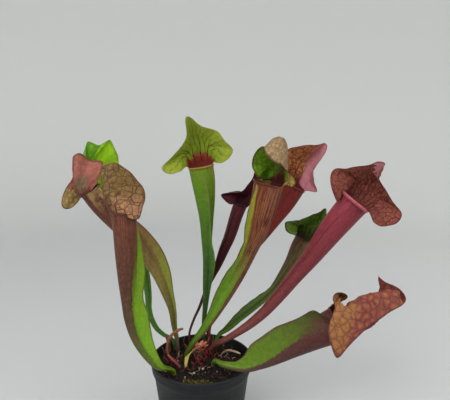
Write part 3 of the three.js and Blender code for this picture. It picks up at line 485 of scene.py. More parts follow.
# %% Values of the ten pitchers
# path: x, y, height above the soil, tube radius, wing width
# edge: x, y, z from the middle of the mouth; where the hood folds over, the fold's x, y, z as well
SOIL_TOP = 82
PITCHER_SHAPES = {
    "pitcher_front_left": {
        "path": [
            (-27, -20, 3, 2.2, 0), (-32, -31, 12, 2.4, 1), (-39, -41, 19, 2.7, 3),
            (-48, -46, 32, 3.3, 7), (-58, -46, 49, 4, 12), (-64, -44, 68, 4.8, 14),
            (-66, -42, 86, 5.6, 10), (-67, -40, 110, 7.6, 12), (-67, -38, 133, 9.8, 7),
            (-67, -37, 153, 11, 2), (-68, -36, 166, 11.4, 0),
        ],
        "face_low": (0.92, 0.38, 0.2), "face_high": (0.75, 0.66, 0),
        "edge": [
            (-14, 8, 9), (-18, 10, 21), (-22, 9, 41), (-17, 10, 45), (-8, 12, 46), (0, 14, 41),
            (8, 15, 33), (15, 15, 24), (19, 10, 13), (17, 2, 6), (16, -6, -3), (11, -11, -3),
            (6, -13, 0),
        ],
    },
    "pitcher_back_left": {
        "path": [
            (-27, 22, 3, 2, 0), (-30, 30, 15, 2.2, 1), (-33, 33, 27, 2.6, 1.5),
            (-35, 32, 46, 3.3, 2.5), (-41, 30, 66, 4.4, 5), (-49, 27, 88, 5.4, 10),
            (-58, 24, 107, 7, 11), (-72, 20, 130, 8.4, 8), (-88, 16, 149, 9.9, 3),
            (-102, 12, 167, 10.7, 1), (-111, 9, 181, 10.6, 0),
        ],
        "face_low": (0.8, -0.3, 0.4), "face_high": (0.65, 0.6, 0.45),
        "arch": 0.25, "spread": 0.05,
        "edge": [
            (-16, 5, -12), (-23, -3, -18), (-28, -7, -14), (-22, -9, 5), (-15, -7, 15),
            (-16, -3, 35), (-10, 1, 39), (0, 7, 31), (11, 9, 30), (10, 3, 20), (8, -5, 9),
        ],
    },
    "pitcher_far_green": {
        "path": [
            (-31, 30, 3, 1.8, 0), (-35, 32.5, 11, 2, 0.5), (-45, 35, 15.5, 2.3, 1),
            (-54, 36, 24, 2.6, 1.5), (-61, 38, 41, 2.9, 1.5), (-62, 40, 60, 3.6, 1.5),
            (-65, 41, 83, 4.7, 2), (-72, 41, 106, 5.5, 3), (-82, 39, 129, 6.6, 3),
            (-92, 36, 152, 7.6, 2), (-101, 33, 171, 8.6, 0),
        ],
        "face_low": (0.8, -0.4, 0.3), "face_high": (0.85, -0.45, 0.3),
        "edge": [
            (7, 9, 7), (12, 11, 23), (11, 9, 36), (11, 7, 46), (7, 5, 56), (4, 3, 62),
            (-2, 3, 59), (-8, 3, 56), (-14, 1, 59), (-19, -1, 60), (-20, -3, 51), (-18, -5, 41),
            (-11, -7, 30), (-8, -9, 20), (-4, -9, 10),
        ],
    },
    "pitcher_tall_green": {
        "path": [
            (1, 36, 3, 1.8, 0), (0, 34, 21, 2, 0.5), (1, 32, 36, 2.2, 0.5), (3, 29, 58, 2.9, 1),
            (4, 27, 82, 3.6, 4), (5, 25, 105, 4.3, 8), (5, 23, 127, 5.6, 3),
            (5, 21, 149, 7.3, 1), (4, 20, 171, 10.1, 1), (2, 19, 192, 12.4, 0.5),
            (0, 18, 205, 12.8, 0),
        ],
        "face_low": (0.95, -0.3, 0), "face_high": (0.1, -0.99, 0.1),
        "edge": [
            (15, -6, 5), (21, -10, 5), (28, -12, 8), (33, -10, 18), (25, -4, 26), (20, 0, 34),
            (13, 4, 38), (3, 6, 41), (-5, 6, 45), (-11, 4, 51), (-16, 0, 51), (-14, 0, 39),
            (-15, -2, 31), (-21, -6, 19), (-29, -10, 10), (-39, -16, 1), (-35, -18, -4),
            (-26, -18, -6), (-19, -14, -3),
        ],
    },
    "pitcher_dark": {
        "path": [
            (-16, 37, 3, 1.3, 0), (-16, 40, 15, 1.3, 0), (-11, 43, 30, 1.4, 0.4),
            (-5, 44, 43, 1.6, 0.5), (1, 45, 59, 2, 0.8), (9, 46, 77, 2.9, 1.5),
            (17, 46, 94, 4.3, 3), (23, 46, 110, 5.6, 3), (30, 46, 127, 6.5, 2),
            (37, 46, 150, 7.2, 1), (41, 46, 161, 7.7, 0),
        ],
        "face_low": (-0.5, -0.6, 0.5), "face_high": (-0.5, -0.85, 0),
        "edge": [
            (10, -4, 2), (18, -6, 9), (24, -2, 19), (23, 4, 32), (17, 4, 38), (12, 0, 28),
            (5, -4, 19), (-5, -6, 14), (-13, -8, 15), (-21, -10, 13), (-17, -10, 6), (-9, -8, 2),
            (-8, 3, 3),
        ],
    },
    "pitcher_middle": {
        "path": [
            (-17, 10, 3, 2.4, 0), (-13, 4, 14, 2.4, 1), (-6, -2, 27, 2.6, 1.5),
            (3, -4, 39, 3.2, 2.5), (13, -4, 54, 4.2, 4), (25, -3, 74, 5.5, 8),
            (36, -4, 94, 6.1, 9), (45, -6, 113, 6.5, 5), (51, -8, 129, 7.7, 3),
            (56, -9, 143, 9.8, 6), (60, -11, 161, 11.7, 6), (63, -12, 176, 13.3, 4),
            (66, -13, 191, 14.3, 0),
        ],
        "face_low": (-0.8, -0.3, 0.5), "face_high": (-0.75, -0.6, 0.2),
        "edge": [
            (18, -9, 3), (21, -11, -2), (25, -9, 2), (22, -7, 8), (16, -7, 14),
            (9, -21, 19, 17, -3, 25), (3, -25, 22, 17, -3, 34), (-2, -25, 25, 14, -3, 43),
            (-6, -21, 30, 7, 1, 43), (-6, -11, 36, 2, 7, 36), (-11, -3, 33), (-15, -1, 28),
            (-16, -1, 18), (-14, -3, 11), (-11, -5, 7), (-8, 2, 6), (-7, 10, 5),
        ],
    },
    "pitcher_red": {
        "path": [
            (6, 42, 3, 2.3, 0), (6, 41, 20, 2.5, 0.5), (11, 37, 37, 3.2, 1),
            (20, 34, 56, 3.9, 2), (29, 32, 75, 4.7, 3), (39, 31, 94, 6, 3),
            (48, 30, 113, 7.6, 3), (60, 29, 131, 9.7, 3), (73, 28, 151, 12, 2),
            (86, 27, 170, 13.7, 1), (94, 26, 185, 14.7, 0),
        ],
        "face_low": (-0.8, -0.4, 0.4), "face_high": (-0.2, -0.95, 0.2),
        "edge": [
            (16, -6, -4), (26, -10, -5), (21, -10, 6), (21, -8, 15), (27, -6, 27), (37, 0, 39),
            (35, 2, 44), (26, 2, 43), (14, 2, 42), (4, 2, 41), (-5, 2, 37), (-9, 1, 31),
            (-14, -2, 21), (-16, -6, 9),
        ],
    },
    "pitcher_great_red": {
        "path": [
            (9, 22, 3, 2.6, 0), (14, 14, 14, 2.7, 1), (24, 6, 23, 3, 1.5), (40, 4, 34, 3.8, 2),
            (53, 5, 43, 4.6, 3), (66, 6, 55, 5.6, 3), (82, 6, 74, 6.6, 3), (97, 5, 94, 7.6, 4),
            (114, 3, 117, 9.6, 4), (129, 1, 140, 12.4, 2), (142, -1, 158, 13.9, 1),
            (152, -3, 171, 14.5, 0),
        ],
        "face_low": (-0.6, -0.3, 0.7), "face_high": (-0.3, -0.92, 0.25),
        "lip": 2.4,
        "edge": [
            (16, -9, -17), (22, -13, -21), (29, -15, -20), (37, -15, -18), (43, -13, -9),
            (40, -9, -3), (34, -5, 5), (28, -3, 15), (23, -1, 24), (23, -3, 34), (26, -7, 40),
            (20, -1, 42), (13, 3, 37), (1, 3, 36), (-10, 3, 34), (-19, 1, 35), (-25, -3, 30),
            (-27, -9, 18), (-23, -11, 8), (-19, -11, 2), (-16, -1, 6), (-12, 7, 8),
        ],
    },
    "pitcher_small": {
        "path": [
            (13, 38, 3, 2, 0), (18, 38, 14, 2.2, 1), (28, 38, 21, 2.9, 4), (41, 38, 33, 3.4, 8),
            (55, 38, 45, 3.8, 11), (69, 37, 58, 4, 10), (80, 36, 71, 4.6, 4), (90, 35, 87, 6, 4),
            (98, 34, 101, 7.5, 3), (104, 33, 116, 8.6, 1), (109, 32, 127, 8.8, 0),
        ],
        "face_low": (-0.5, -0.5, 0.75), "face_high": (-0.3, -0.93, 0.2),
        "edge": [
            (8, -7, 4), (16, -9, 11), (21, -9, 19), (23, -7, 26), (23, -5, 33), (20, -3, 33),
            (14, -1, 28), (6, -1, 25), (-2, -1, 22), (-7, -3, 17), (-14, -7, 18), (-22, -11, 20),
            (-22, -13, 14), (-17, -13, 8), (-9, -11, 5),
        ],
    },
    "pitcher_low_front": {
        "path": [
            (12, -4, 3, 2.2, 0), (16, -16, 11, 2.3, 1), (22, -27, 13.5, 2.5, 2),
            (34, -33, 13.5, 2.7, 4), (47, -37, 15, 3, 12), (60, -40, 21, 3.8, 19),
            (73, -44, 30, 5.4, 19), (86, -48, 41, 8, 17), (97, -51, 50, 10.4, 12),
            (107, -54, 58, 12.5, 9), (117, -56, 65, 14.5, 10), (125, -57, 70, 15.5, 6),
        ],
        "face_low": (-0.3, 0.15, 0.95), "face_high": (-0.1, -0.95, 0.3),
        "turn": 12, "ripple": 0.4, "end_arch": 1.0,
        "edge": [
            (16, 7, -9), (29, 11, 6), (42, 10, 31), (36, 9, 44), (42, 7, 37), (51, 3, 35),
            (56, -3, 31), (57, -9, 26), (51, -15, 23, 49, -5, 33), (39, -20, 20, 41, -8, 34),
            (29, -24, 14, 32, -10, 34), (20, -26, 10, 24, -11, 33), (12, -28, 3, 17, -13, 31),
            (3, -29, -6, 12, -14, 28), (-4, -30, -15, 8, -15, 26), (-8, -30, -18, 6, -16, 23),
            (-12, -29, -8, 3, -17, 22), (-15, -27, 3, 1, -16, 23), (-13, -24, 14, -1, -12, 25),
            (-7, -18, 22, 0, -3, 26), (-7, -10, 24), (-6, -4, 28), (0, 1, 30), (8, 3, 27),
            (11, 6, 21), (1, 9, 16),
        ],
    },
}

# %% [markdown]
# ## One section of a leaf
# The tube turns as it rises, so each section has its own three directions: along the tube, to its
# front, where the wing is, and to its side. A modeller would rotate each ring by eye. The code
# works the same turn out from the curve.

# %% Sections
WING_ROOT = math.radians(16)
CORNER = WING_ROOT + 3 / 11 * (2 * math.pi - 2 * WING_ROOT)
FRONT_STEPS = 7
HOOD_STEPS = 36
TUBE_ROWS = 44
INNER_ROWS = 12
INNER_DEPTH = 0.5
HOOD_ROWS = 18
FOOT_DEPTH = 10
TISSUE = 0.9
WING_EDGE = 0.45
WING_WAIST = (0.4, 0.75)
LEAST_WING = 0.15
LIP_ROLL = 1.0
SLIM_LIP = 0.62
FULL_LIP = 1.35


def leaf_section(shape, share):
    """Middle, radius, wing width and the three directions of the tube at a share of its length."""
    line = [p[:3] for p in shape["path"]]
    middle = along_curve(line, share)
    radius, wing, _ = along_curve([(p[3], p[4], 0) for p in shape["path"]], share)
    before = along_curve(line, max(share - 0.02, 0))
    after = along_curve(line, min(share + 0.02, 1))
    along = unit(after - before) if share > 0 else np.array([0.0, 0.0, 1.0])
    turn = share ** shape.get("turn", 1.5)
    front = unit(shape["face_low"]) * (1 - turn) + unit(shape["face_high"]) * turn
    front = unit(front - along * front.dot(along))
    return middle + [0, 0, SOIL_TOP], radius, max(wing, 0), along, front, np.cross(along, front)


def ring_angles():
    """The angles of a tube ring: front part, hood part, front part. 0 is where the wing grows."""
    front = np.linspace(WING_ROOT, CORNER, FRONT_STEPS + 1)
    back = np.linspace(CORNER, 2 * math.pi - CORNER, HOOD_STEPS + 1)
    return np.concatenate([front[:-1], back, 2 * math.pi - front[::-1][1:]])


ANGLES = ring_angles()
WING_SHARES = np.array([0.3, 0.68, 1.0, 1.0, 0.68, 0.3])
CORNERS = len(ANGLES) + len(WING_SHARES)
HOOD_FIRST = FRONT_STEPS
HOOD_LAST = FRONT_STEPS + HOOD_STEPS


def tube_ring(section, radius, lift, wing_width=None, flutter=0.0):
    """One ring's corners in millimetres: the tube's, then the wing's sides, or a plain front."""
    middle, _, _, along, front, side = section
    radius, lift = np.broadcast_to(radius, ANGLES.shape), np.broadcast_to(lift, ANGLES.shape)
    out = np.cos(ANGLES)[:, None] * front + np.sin(ANGLES)[:, None] * side
    tube = middle + out * radius[:, None] + along * lift[:, None]
    if wing_width is None:
        turns = np.linspace(-WING_ROOT, WING_ROOT, 8)[1:-1, None]
        out = np.cos(turns) * front + np.sin(turns) * side
        return np.concatenate([tube, middle + out * radius[0] + along * lift[0]])
    waist = np.clip(radius[0] * math.sin(WING_ROOT) * 0.8, *WING_WAIST)
    edge = min(WING_EDGE, waist * 0.9)
    width = max(wing_width, LEAST_WING)
    thick = np.array([-waist, -(waist + edge) / 2, -edge, edge, (waist + edge) / 2, waist])
    bend = flutter * WING_SHARES**3 * min(width / 6, 1)
    wing = (middle + front * (radius[0] + width * WING_SHARES)[:, None]
            + side * (thick + bend)[:, None] + along * lift[0])
    return np.concatenate([tube, wing])


def lip_bead(shape):
    """How thick the rolled lip is at each angle: full in front, slim where the hood starts."""
    facing = np.clip((CORNER - np.minimum(ANGLES, 2 * math.pi - ANGLES)) / 0.9, 0, 1)
    smooth = facing * facing * (3 - 2 * facing)
    return SLIM_LIP + (shape.get("lip", FULL_LIP) - SLIM_LIP) * smooth


# %% [markdown]
# ## The hood
# Seen from the mouth, the hood is a fan of lines that leave the back of the lip, climb, and lean
# out to the edge points. Each line is one cubic curve with a single pull. The distances across and
# up the fan are measured as it is made, because a margin and a puffed cell keep their size in
# millimetres.

# %% The hood's sheet
HOOD_FOOT = 0.23
# each line is pulled by a share of its length: outwards by SPREAD, and up the tube's axis by ARCH,
# which starts from a share of itself at the two ends of the hood
SPREAD = 0.15
ARCH = 0.55
END_ARCH = 0.2
ARCH_RISE = 12
BROAD_WAVES = 7
BROAD_RIPPLE = 0.8
FINE_WAVES = 19
FINE_RIPPLE = 0.28


def hood_sheet(shape, mouth):
    """Points, normals and millimetre coordinates of the hood's middle surface, row by row."""
    middle, radius, _, along, front, side = mouth
    edge = [middle + np.array(point[:3]) for point in shape["edge"]]
    last = len(edge) - 1

    def start_of(share):
        angle = CORNER + (2 * math.pi - 2 * CORNER) * share
        out = math.cos(angle) * front + math.sin(angle) * side
        return middle + out * (radius + HOOD_FOOT) + along * LIP_ROLL, out

    pulls = []
    for i, point in enumerate(shape["edge"]):
        start, out = start_of(i / last)
        if len(point) > 3:
            fold = middle + np.array(point[3:])
            pulls.append((fold * 8 - start - edge[i]) / 6)
        else:
            length = np.linalg.norm(edge[i] - start)
            rise = ARCH_RISE * min(i, last - i) / last
            arch = shape.get("arch", ARCH) * min(shape.get("end_arch", END_ARCH) + rise, 1)
            spread = shape.get("spread", SPREAD)
            pulls.append(start + along * arch * length + out * spread * length)
    shares = np.linspace(0, 1, HOOD_STEPS + 1)
    starts = np.array([start_of(s)[0] for s in shares])
    ends = np.array([along_curve(edge, s) for s in shares])
    bends = np.array([along_curve(pulls, s) for s in shares])
    rows = []
    for k in range(HOOD_ROWS + 1):
        v = k / HOOD_ROWS
        rows.append(starts * (1 - v)**3 + bends * 3 * (1 - v) * v + ends * v**3)
    sheet = np.array(rows)
    across, climb = np.gradient(sheet, axis=1), np.gradient(sheet, axis=0)
    normals = np.cross(across, climb)
    normals /= np.maximum(np.linalg.norm(normals, axis=2, keepdims=True), 1e-9)
    return sheet, normals, shares


def ruffle(shape, v, shares):
    """How far the hood's margin waves out of its sheet at a height v."""
    broad = shape.get("ripple", BROAD_RIPPLE) * v * v
    broad = broad * np.sin(shares * BROAD_WAVES * 2 * math.pi)
    fine = FINE_RIPPLE * v**4 * np.sin(shares * FINE_WAVES * 2 * math.pi + 1.3)
    return broad + fine


# %% [markdown]
# ## Growing one leaf
# The leaf starts as a circle at its foot. The circle is pulled out ring by ring up the tube, rolled
# over the lip and pulled back down inside, and both ends are closed by merging. Then the faces
# along the back of the lip are selected and extruded again and again: that is the hood, and it
# comes out with its two sides and its edge at once, like the real tissue. Subdivision rounds the
# whole leaf. On the way, each corner writes down how far up the leaf it is, whether it is on the
# wing or inside, how near the margin it is, and its place in the net of the tube's veins.

# %% Growing a leaf
VEIN_STRETCH_TUBE = 11
TUBE_VEINS = 1.7
MARGIN_WIDTH = 2.6
PUFF_FROM_MARGIN = 4
HOOD_THINNING = 0.35
FULL_WING = 1.5
# how far apart two leaves read the net of veins
NET_STEP = 40
# the wing's waves: how high, how often and how much they differ from leaf to leaf
FLUTTER = ((0.55, 5.2, 1), (0.3, 11, 2))
# the rings round the rolled lip in degrees, and the two that the hood grows out between
LIP_TURNS = [-60, -15, 30, 72, 112, 155, 200]
HOOD_TURNS = (72, 112)


def leaf_facts(growth, inner, wing, margin, across, width, net_across, net_along, quilt=0.0,
               belly=-1.0, lip=0.0):
    """What a ring of corners tells the finish. belly is 1 where the wing grows, -1 at the back."""
    return {
        "growth": growth, "inner": inner, "wing": wing, "margin": margin, "across": across,
        "fan_width": width, "quilt": quilt, "belly": belly, "lip": lip,
        "net_x": net_across, "net_y": net_along,
    }


def grow_pitcher(name, shape, shift):
    """The whole leaf as one closed mesh."""
    mouth = leaf_section(shape, 1)
    wings = np.concatenate([np.zeros(len(ANGLES)), WING_SHARES])
    tube_across = np.concatenate([np.sin(ANGLES), np.zeros(6)])
    tube_belly = np.concatenate([np.cos(ANGLES), np.ones(6)])
    tube_x = np.concatenate([(ANGLES - math.pi) * mouth[1], np.zeros(6)])

    def facts_at(section, growth, inner, climb, lip=0.0, veins=TUBE_VEINS):
        drift = WING_SHARES * section[2]
        net_x = tube_x * veins + shift * NET_STEP
        net_x[len(ANGLES):] = np.where(np.arange(6) < 3, net_x[-7] + drift, net_x[0] - drift)
        on_wing = wings * (min(section[2] / FULL_WING, 1.0) if not inner else 0.0)
        edge = np.concatenate([np.zeros(len(ANGLES)), WING_SHARES > 0.9]) * on_wing
        return leaf_facts(growth, inner, on_wing, edge, tube_across, mouth[1] * 1.3, net_x, climb,
                          belly=tube_belly, lip=lip)

    foot = leaf_section(shape, 0)
    piece = start_ring(name, CORNERS, Vector(foot[0]) * MM)
    ring = 0
    buried = (foot[0] - [0, 0, FOOT_DEPTH],) + foot[1:]
    lay_ring(piece, ring, tube_ring(buried, foot[1], 0, 0) * MM, facts_at(foot, 0, 0, -1.5))
    climb, last_middle = 0.0, foot[0]
    climbs = []
    for row in range(TUBE_ROWS + 1):
        share = row / TUBE_ROWS
        section = leaf_section(shape, share)
        climb += np.linalg.norm(section[0] - last_middle) / VEIN_STRETCH_TUBE
        climbs.append(climb)
        last_middle = section[0]
        flutter = sum(high * math.sin(climb * often + shift * own) for high, often, own in FLUTTER)
        ring += 1
        pull_ring(piece, ring, tube_ring(section, section[1], 0, section[2], flutter) * MM,
                  facts_at(section, share, 0, climb))
    bead = lip_bead(shape)
    lip_rings = {}
    for turn in LIP_TURNS:
        angle = math.radians(turn)
        radius = mouth[1] + 0.05 + bead * (0.25 + 0.75 * math.cos(angle))
        lift = bead * (0.55 + 0.75 * math.sin(angle)) + (LIP_ROLL - 0.75)
        ring += 1
        lip_rings[turn] = ring
        pull_ring(piece, ring, tube_ring(mouth, radius, lift) * MM,
                  facts_at(mouth, 1.0, float(turn > 90), climb, veins=1, lip=np.concatenate(
                      [np.clip(bead * 3 - 2.4, 0, 1), np.ones(6)])))
    for row in range(INNER_ROWS + 1):
        share = 1 - row / INNER_ROWS * INNER_DEPTH
        section = leaf_section(shape, share)
        ring += 1
        inside = tube_ring(section, section[1] - TISSUE, 0)
        pull_ring(piece, ring, inside * MM,
                  facts_at(section, share, 1.0, climbs[round(share * TUBE_ROWS)]))
    close_ends(piece)
    pull_hood(piece, shape, mouth, climb, *[lip_rings[turn] for turn in HOOD_TURNS])
    leave_edit(piece)
    apply_modifier(piece, "SUBSURF", levels=1, render_levels=1)
    return piece


def pull_hood(piece, shape, mouth, climb, lip_outer, lip_inner):
    """Selects the faces along the back of the lip and extrudes them row by row."""
    sheet, normals, shares = hood_sheet(shape, mouth)
    bpy.ops.mesh.select_mode(type="FACE")
    bpy.ops.mesh.select_all(action="DESELECT")
    mesh = bmesh.from_edit_mesh(piece.data)
    side, ring_of = mesh.verts.layers.int["side"], mesh.verts.layers.int["ring"]
    for face in mesh.faces:
        on_lip = all(v[ring_of] in (lip_outer, lip_inner) for v in face.verts)
        at_back = all(HOOD_FIRST <= v[side] <= HOOD_LAST for v in face.verts)
        face.select_set(on_lip and at_back)
    bmesh.update_edit_mesh(piece.data)
    rows_x = np.linalg.norm(np.diff(sheet, axis=1), axis=2)
    rows_y = np.concatenate([np.zeros((1, len(shares))),
                             np.cumsum(np.linalg.norm(np.diff(sheet, axis=0), axis=2), axis=0)])
    for k in range(1, HOOD_ROWS + 1):
        v = k / HOOD_ROWS
        bpy.ops.mesh.extrude_region_move(TRANSFORM_OT_translate={"value": (0, 0, 0)})
        wide = rows_x[k].sum()
        half = TISSUE / 2 * (1 - HOOD_THINNING * v)
        middle = sheet[k] + normals[k] * ruffle(shape, v, shares)[:, None]
        places = {lip_outer: middle + normals[k] * half, lip_inner: middle - normals[k] * half}
        along_row = np.concatenate([[0], np.cumsum(rows_x[k])])
        to_margin = np.minimum(np.minimum(along_row, wide - along_row) + 1.2 * (1 - v),
                               rows_y[-1] - rows_y[k])
        margin = 1 - np.clip(to_margin / MARGIN_WIDTH, 0, 1)
        puffed = np.clip(to_margin / PUFF_FROM_MARGIN, 0, 1) * min(v * 3, 1)
        tell = {
            wall: leaf_facts(1 + v, float(wall == lip_inner), 0.0, margin, 2 * shares - 1, wide / 2,
                             along_row, climb, puffed * (1 if wall == lip_outer else -1))
            for wall in (lip_outer, lip_inner)}
        mesh = bmesh.from_edit_mesh(piece.data)
        side, ring_of = mesh.verts.layers.int["side"], mesh.verts.layers.int["ring"]
        layers = {key: mesh.verts.layers.float[key] for key in tell[lip_outer]}
        for corner in mesh.verts:
            if corner.select:
                column, wall = corner[side] - HOOD_FIRST, corner[ring_of]
                corner.co = places[wall][column] * MM
                note_facts(corner, layers, tell[wall], column)
        bmesh.update_edit_mesh(piece.data)


# %% [markdown]
# ## Puffed between the veins
# On a hood the veins are sunk and the tissue between them is puffed, like a quilt. The relief and
# the dark lines have to be the same net. So a Geometry Nodes modifier and the material both read
# the place of a point, bend it by the same noise and put it through the same Voronoi texture. Its
# distance to the cell edges is zero on a vein and largest in the middle of a puffed cell.

# %% Quilting
# the noise that bends the net, and how far in millimetres
WANDER = {"Scale": 1 / (6 * MM), "Detail": 4.0, "Roughness": 0.6}
NET_BEND = 4.0
NO_STRETCH = (1, 1, 1)


def quilt_nodes(cell, depth, stretch):
    """Geometry nodes that lift the middle of every cell of the net by depth, in millimetres."""
    tree = bpy.data.node_groups.new("puffed_between_veins", "GeometryNodeTree")
    tree.interface.new_socket("Geometry", in_out="INPUT", socket_type="NodeSocketGeometry")
    tree.interface.new_socket("Geometry", in_out="OUTPUT", socket_type="NodeSocketGeometry")
    put = functools.partial(add_node, tree)
    start, end = put("NodeGroupInput"), put("NodeGroupOutput")
    quilt = put("GeometryNodeInputNamedAttribute", ["quilt"])
    place = put("GeometryNodeInputPosition")
    wander = put("ShaderNodeTexNoise", {"Vector": place, **WANDER})
    bent = put("ShaderNodeVectorMath", [wander.outputs["Color"], [NET_BEND * MM] * 3, place],
               operation="MULTIPLY_ADD")
    bent = put("ShaderNodeVectorMath", [bent, stretch], operation="MULTIPLY")
    net = put("ShaderNodeTexVoronoi", {"Vector": bent, "Scale": 1 / (cell * MM)},
              feature="DISTANCE_TO_EDGE")
    puff = put("ShaderNodeMapRange", [net, 0.0, 0.38, -0.45 * depth * MM, 0.55 * depth * MM],
               interpolation_type="SMOOTHERSTEP")
    height = put("ShaderNodeMath", [puff, quilt], operation="MULTIPLY")
    offset = put("ShaderNodeVectorMath", {0: put("GeometryNodeInputNormal"), "Scale": height},
                 operation="SCALE")
    moved = put("GeometryNodeSetPosition", {"Geometry": start, "Offset": offset})
    tree.links.new(moved.outputs[0], end.inputs[0])
    return tree


# %% [markdown]
# ## Leaf tissue
# A leaf is a thin waxy skin over green tissue, so it has a soft gloss (roughness from 0.42 to 0.62,
# IOR 1.42) and lets a little light through. Its colour isn't one colour. Chlorophyll fades and red
# pigment gathers towards the mouth, in the veins and at every margin. One side of a leaf gets a
# colour that is partly the red of the side that faced the sun and partly painted light, lighter
# where the leaf is lit or backlit.
# One finish does this for all ten leaves, and each leaf brings its own colours:
# - skin, wing, inside: colours up the leaf, at 0 at the foot, 0.5 at the mouth and 1 at the margin;
#   the inside's dark stops below the mouth are the throat's red and, deeper down, painted shade
# - belly: how far round the tube the wing's colour reaches, from 1 (not at all) to -1 (all round),
#   and how far up
# - sun_red_and_lit_side: a colour for one side across the leaf, partly the red of the side that
#   faced the sun and partly painted light; where across it starts and is full, its strength
# - flush: a colour that gathers in long blotches, and how strong it is
# - veins: their colour, and their strength on the tube, on the wing and on the hood
# - net and cell: the width of a vein as a share of a cell, its strength, and a cell in millimetres
# - stretch: below 1 the cells of the net are longer that way
# - rays: how many main veins fan out over the hood, and how wide they are in millimetres
# - cores: the colour of the tissue in the middle of each cell of the net, and its strength
# - rim and lip_colour: the colours of the margins and of the rolled lip, and their strength
# - patches: colour, place across and up the leaf with half sizes, outside 0 or inside 1, and
#   how much of the veins is left there

# %% Leaf finish
SMOOTH = {"interpolation_type": "SMOOTHSTEP"}
NO_SUN_RED_AND_LIT_SIDE = ("#000000", 1.5, 1.6, 0.0)


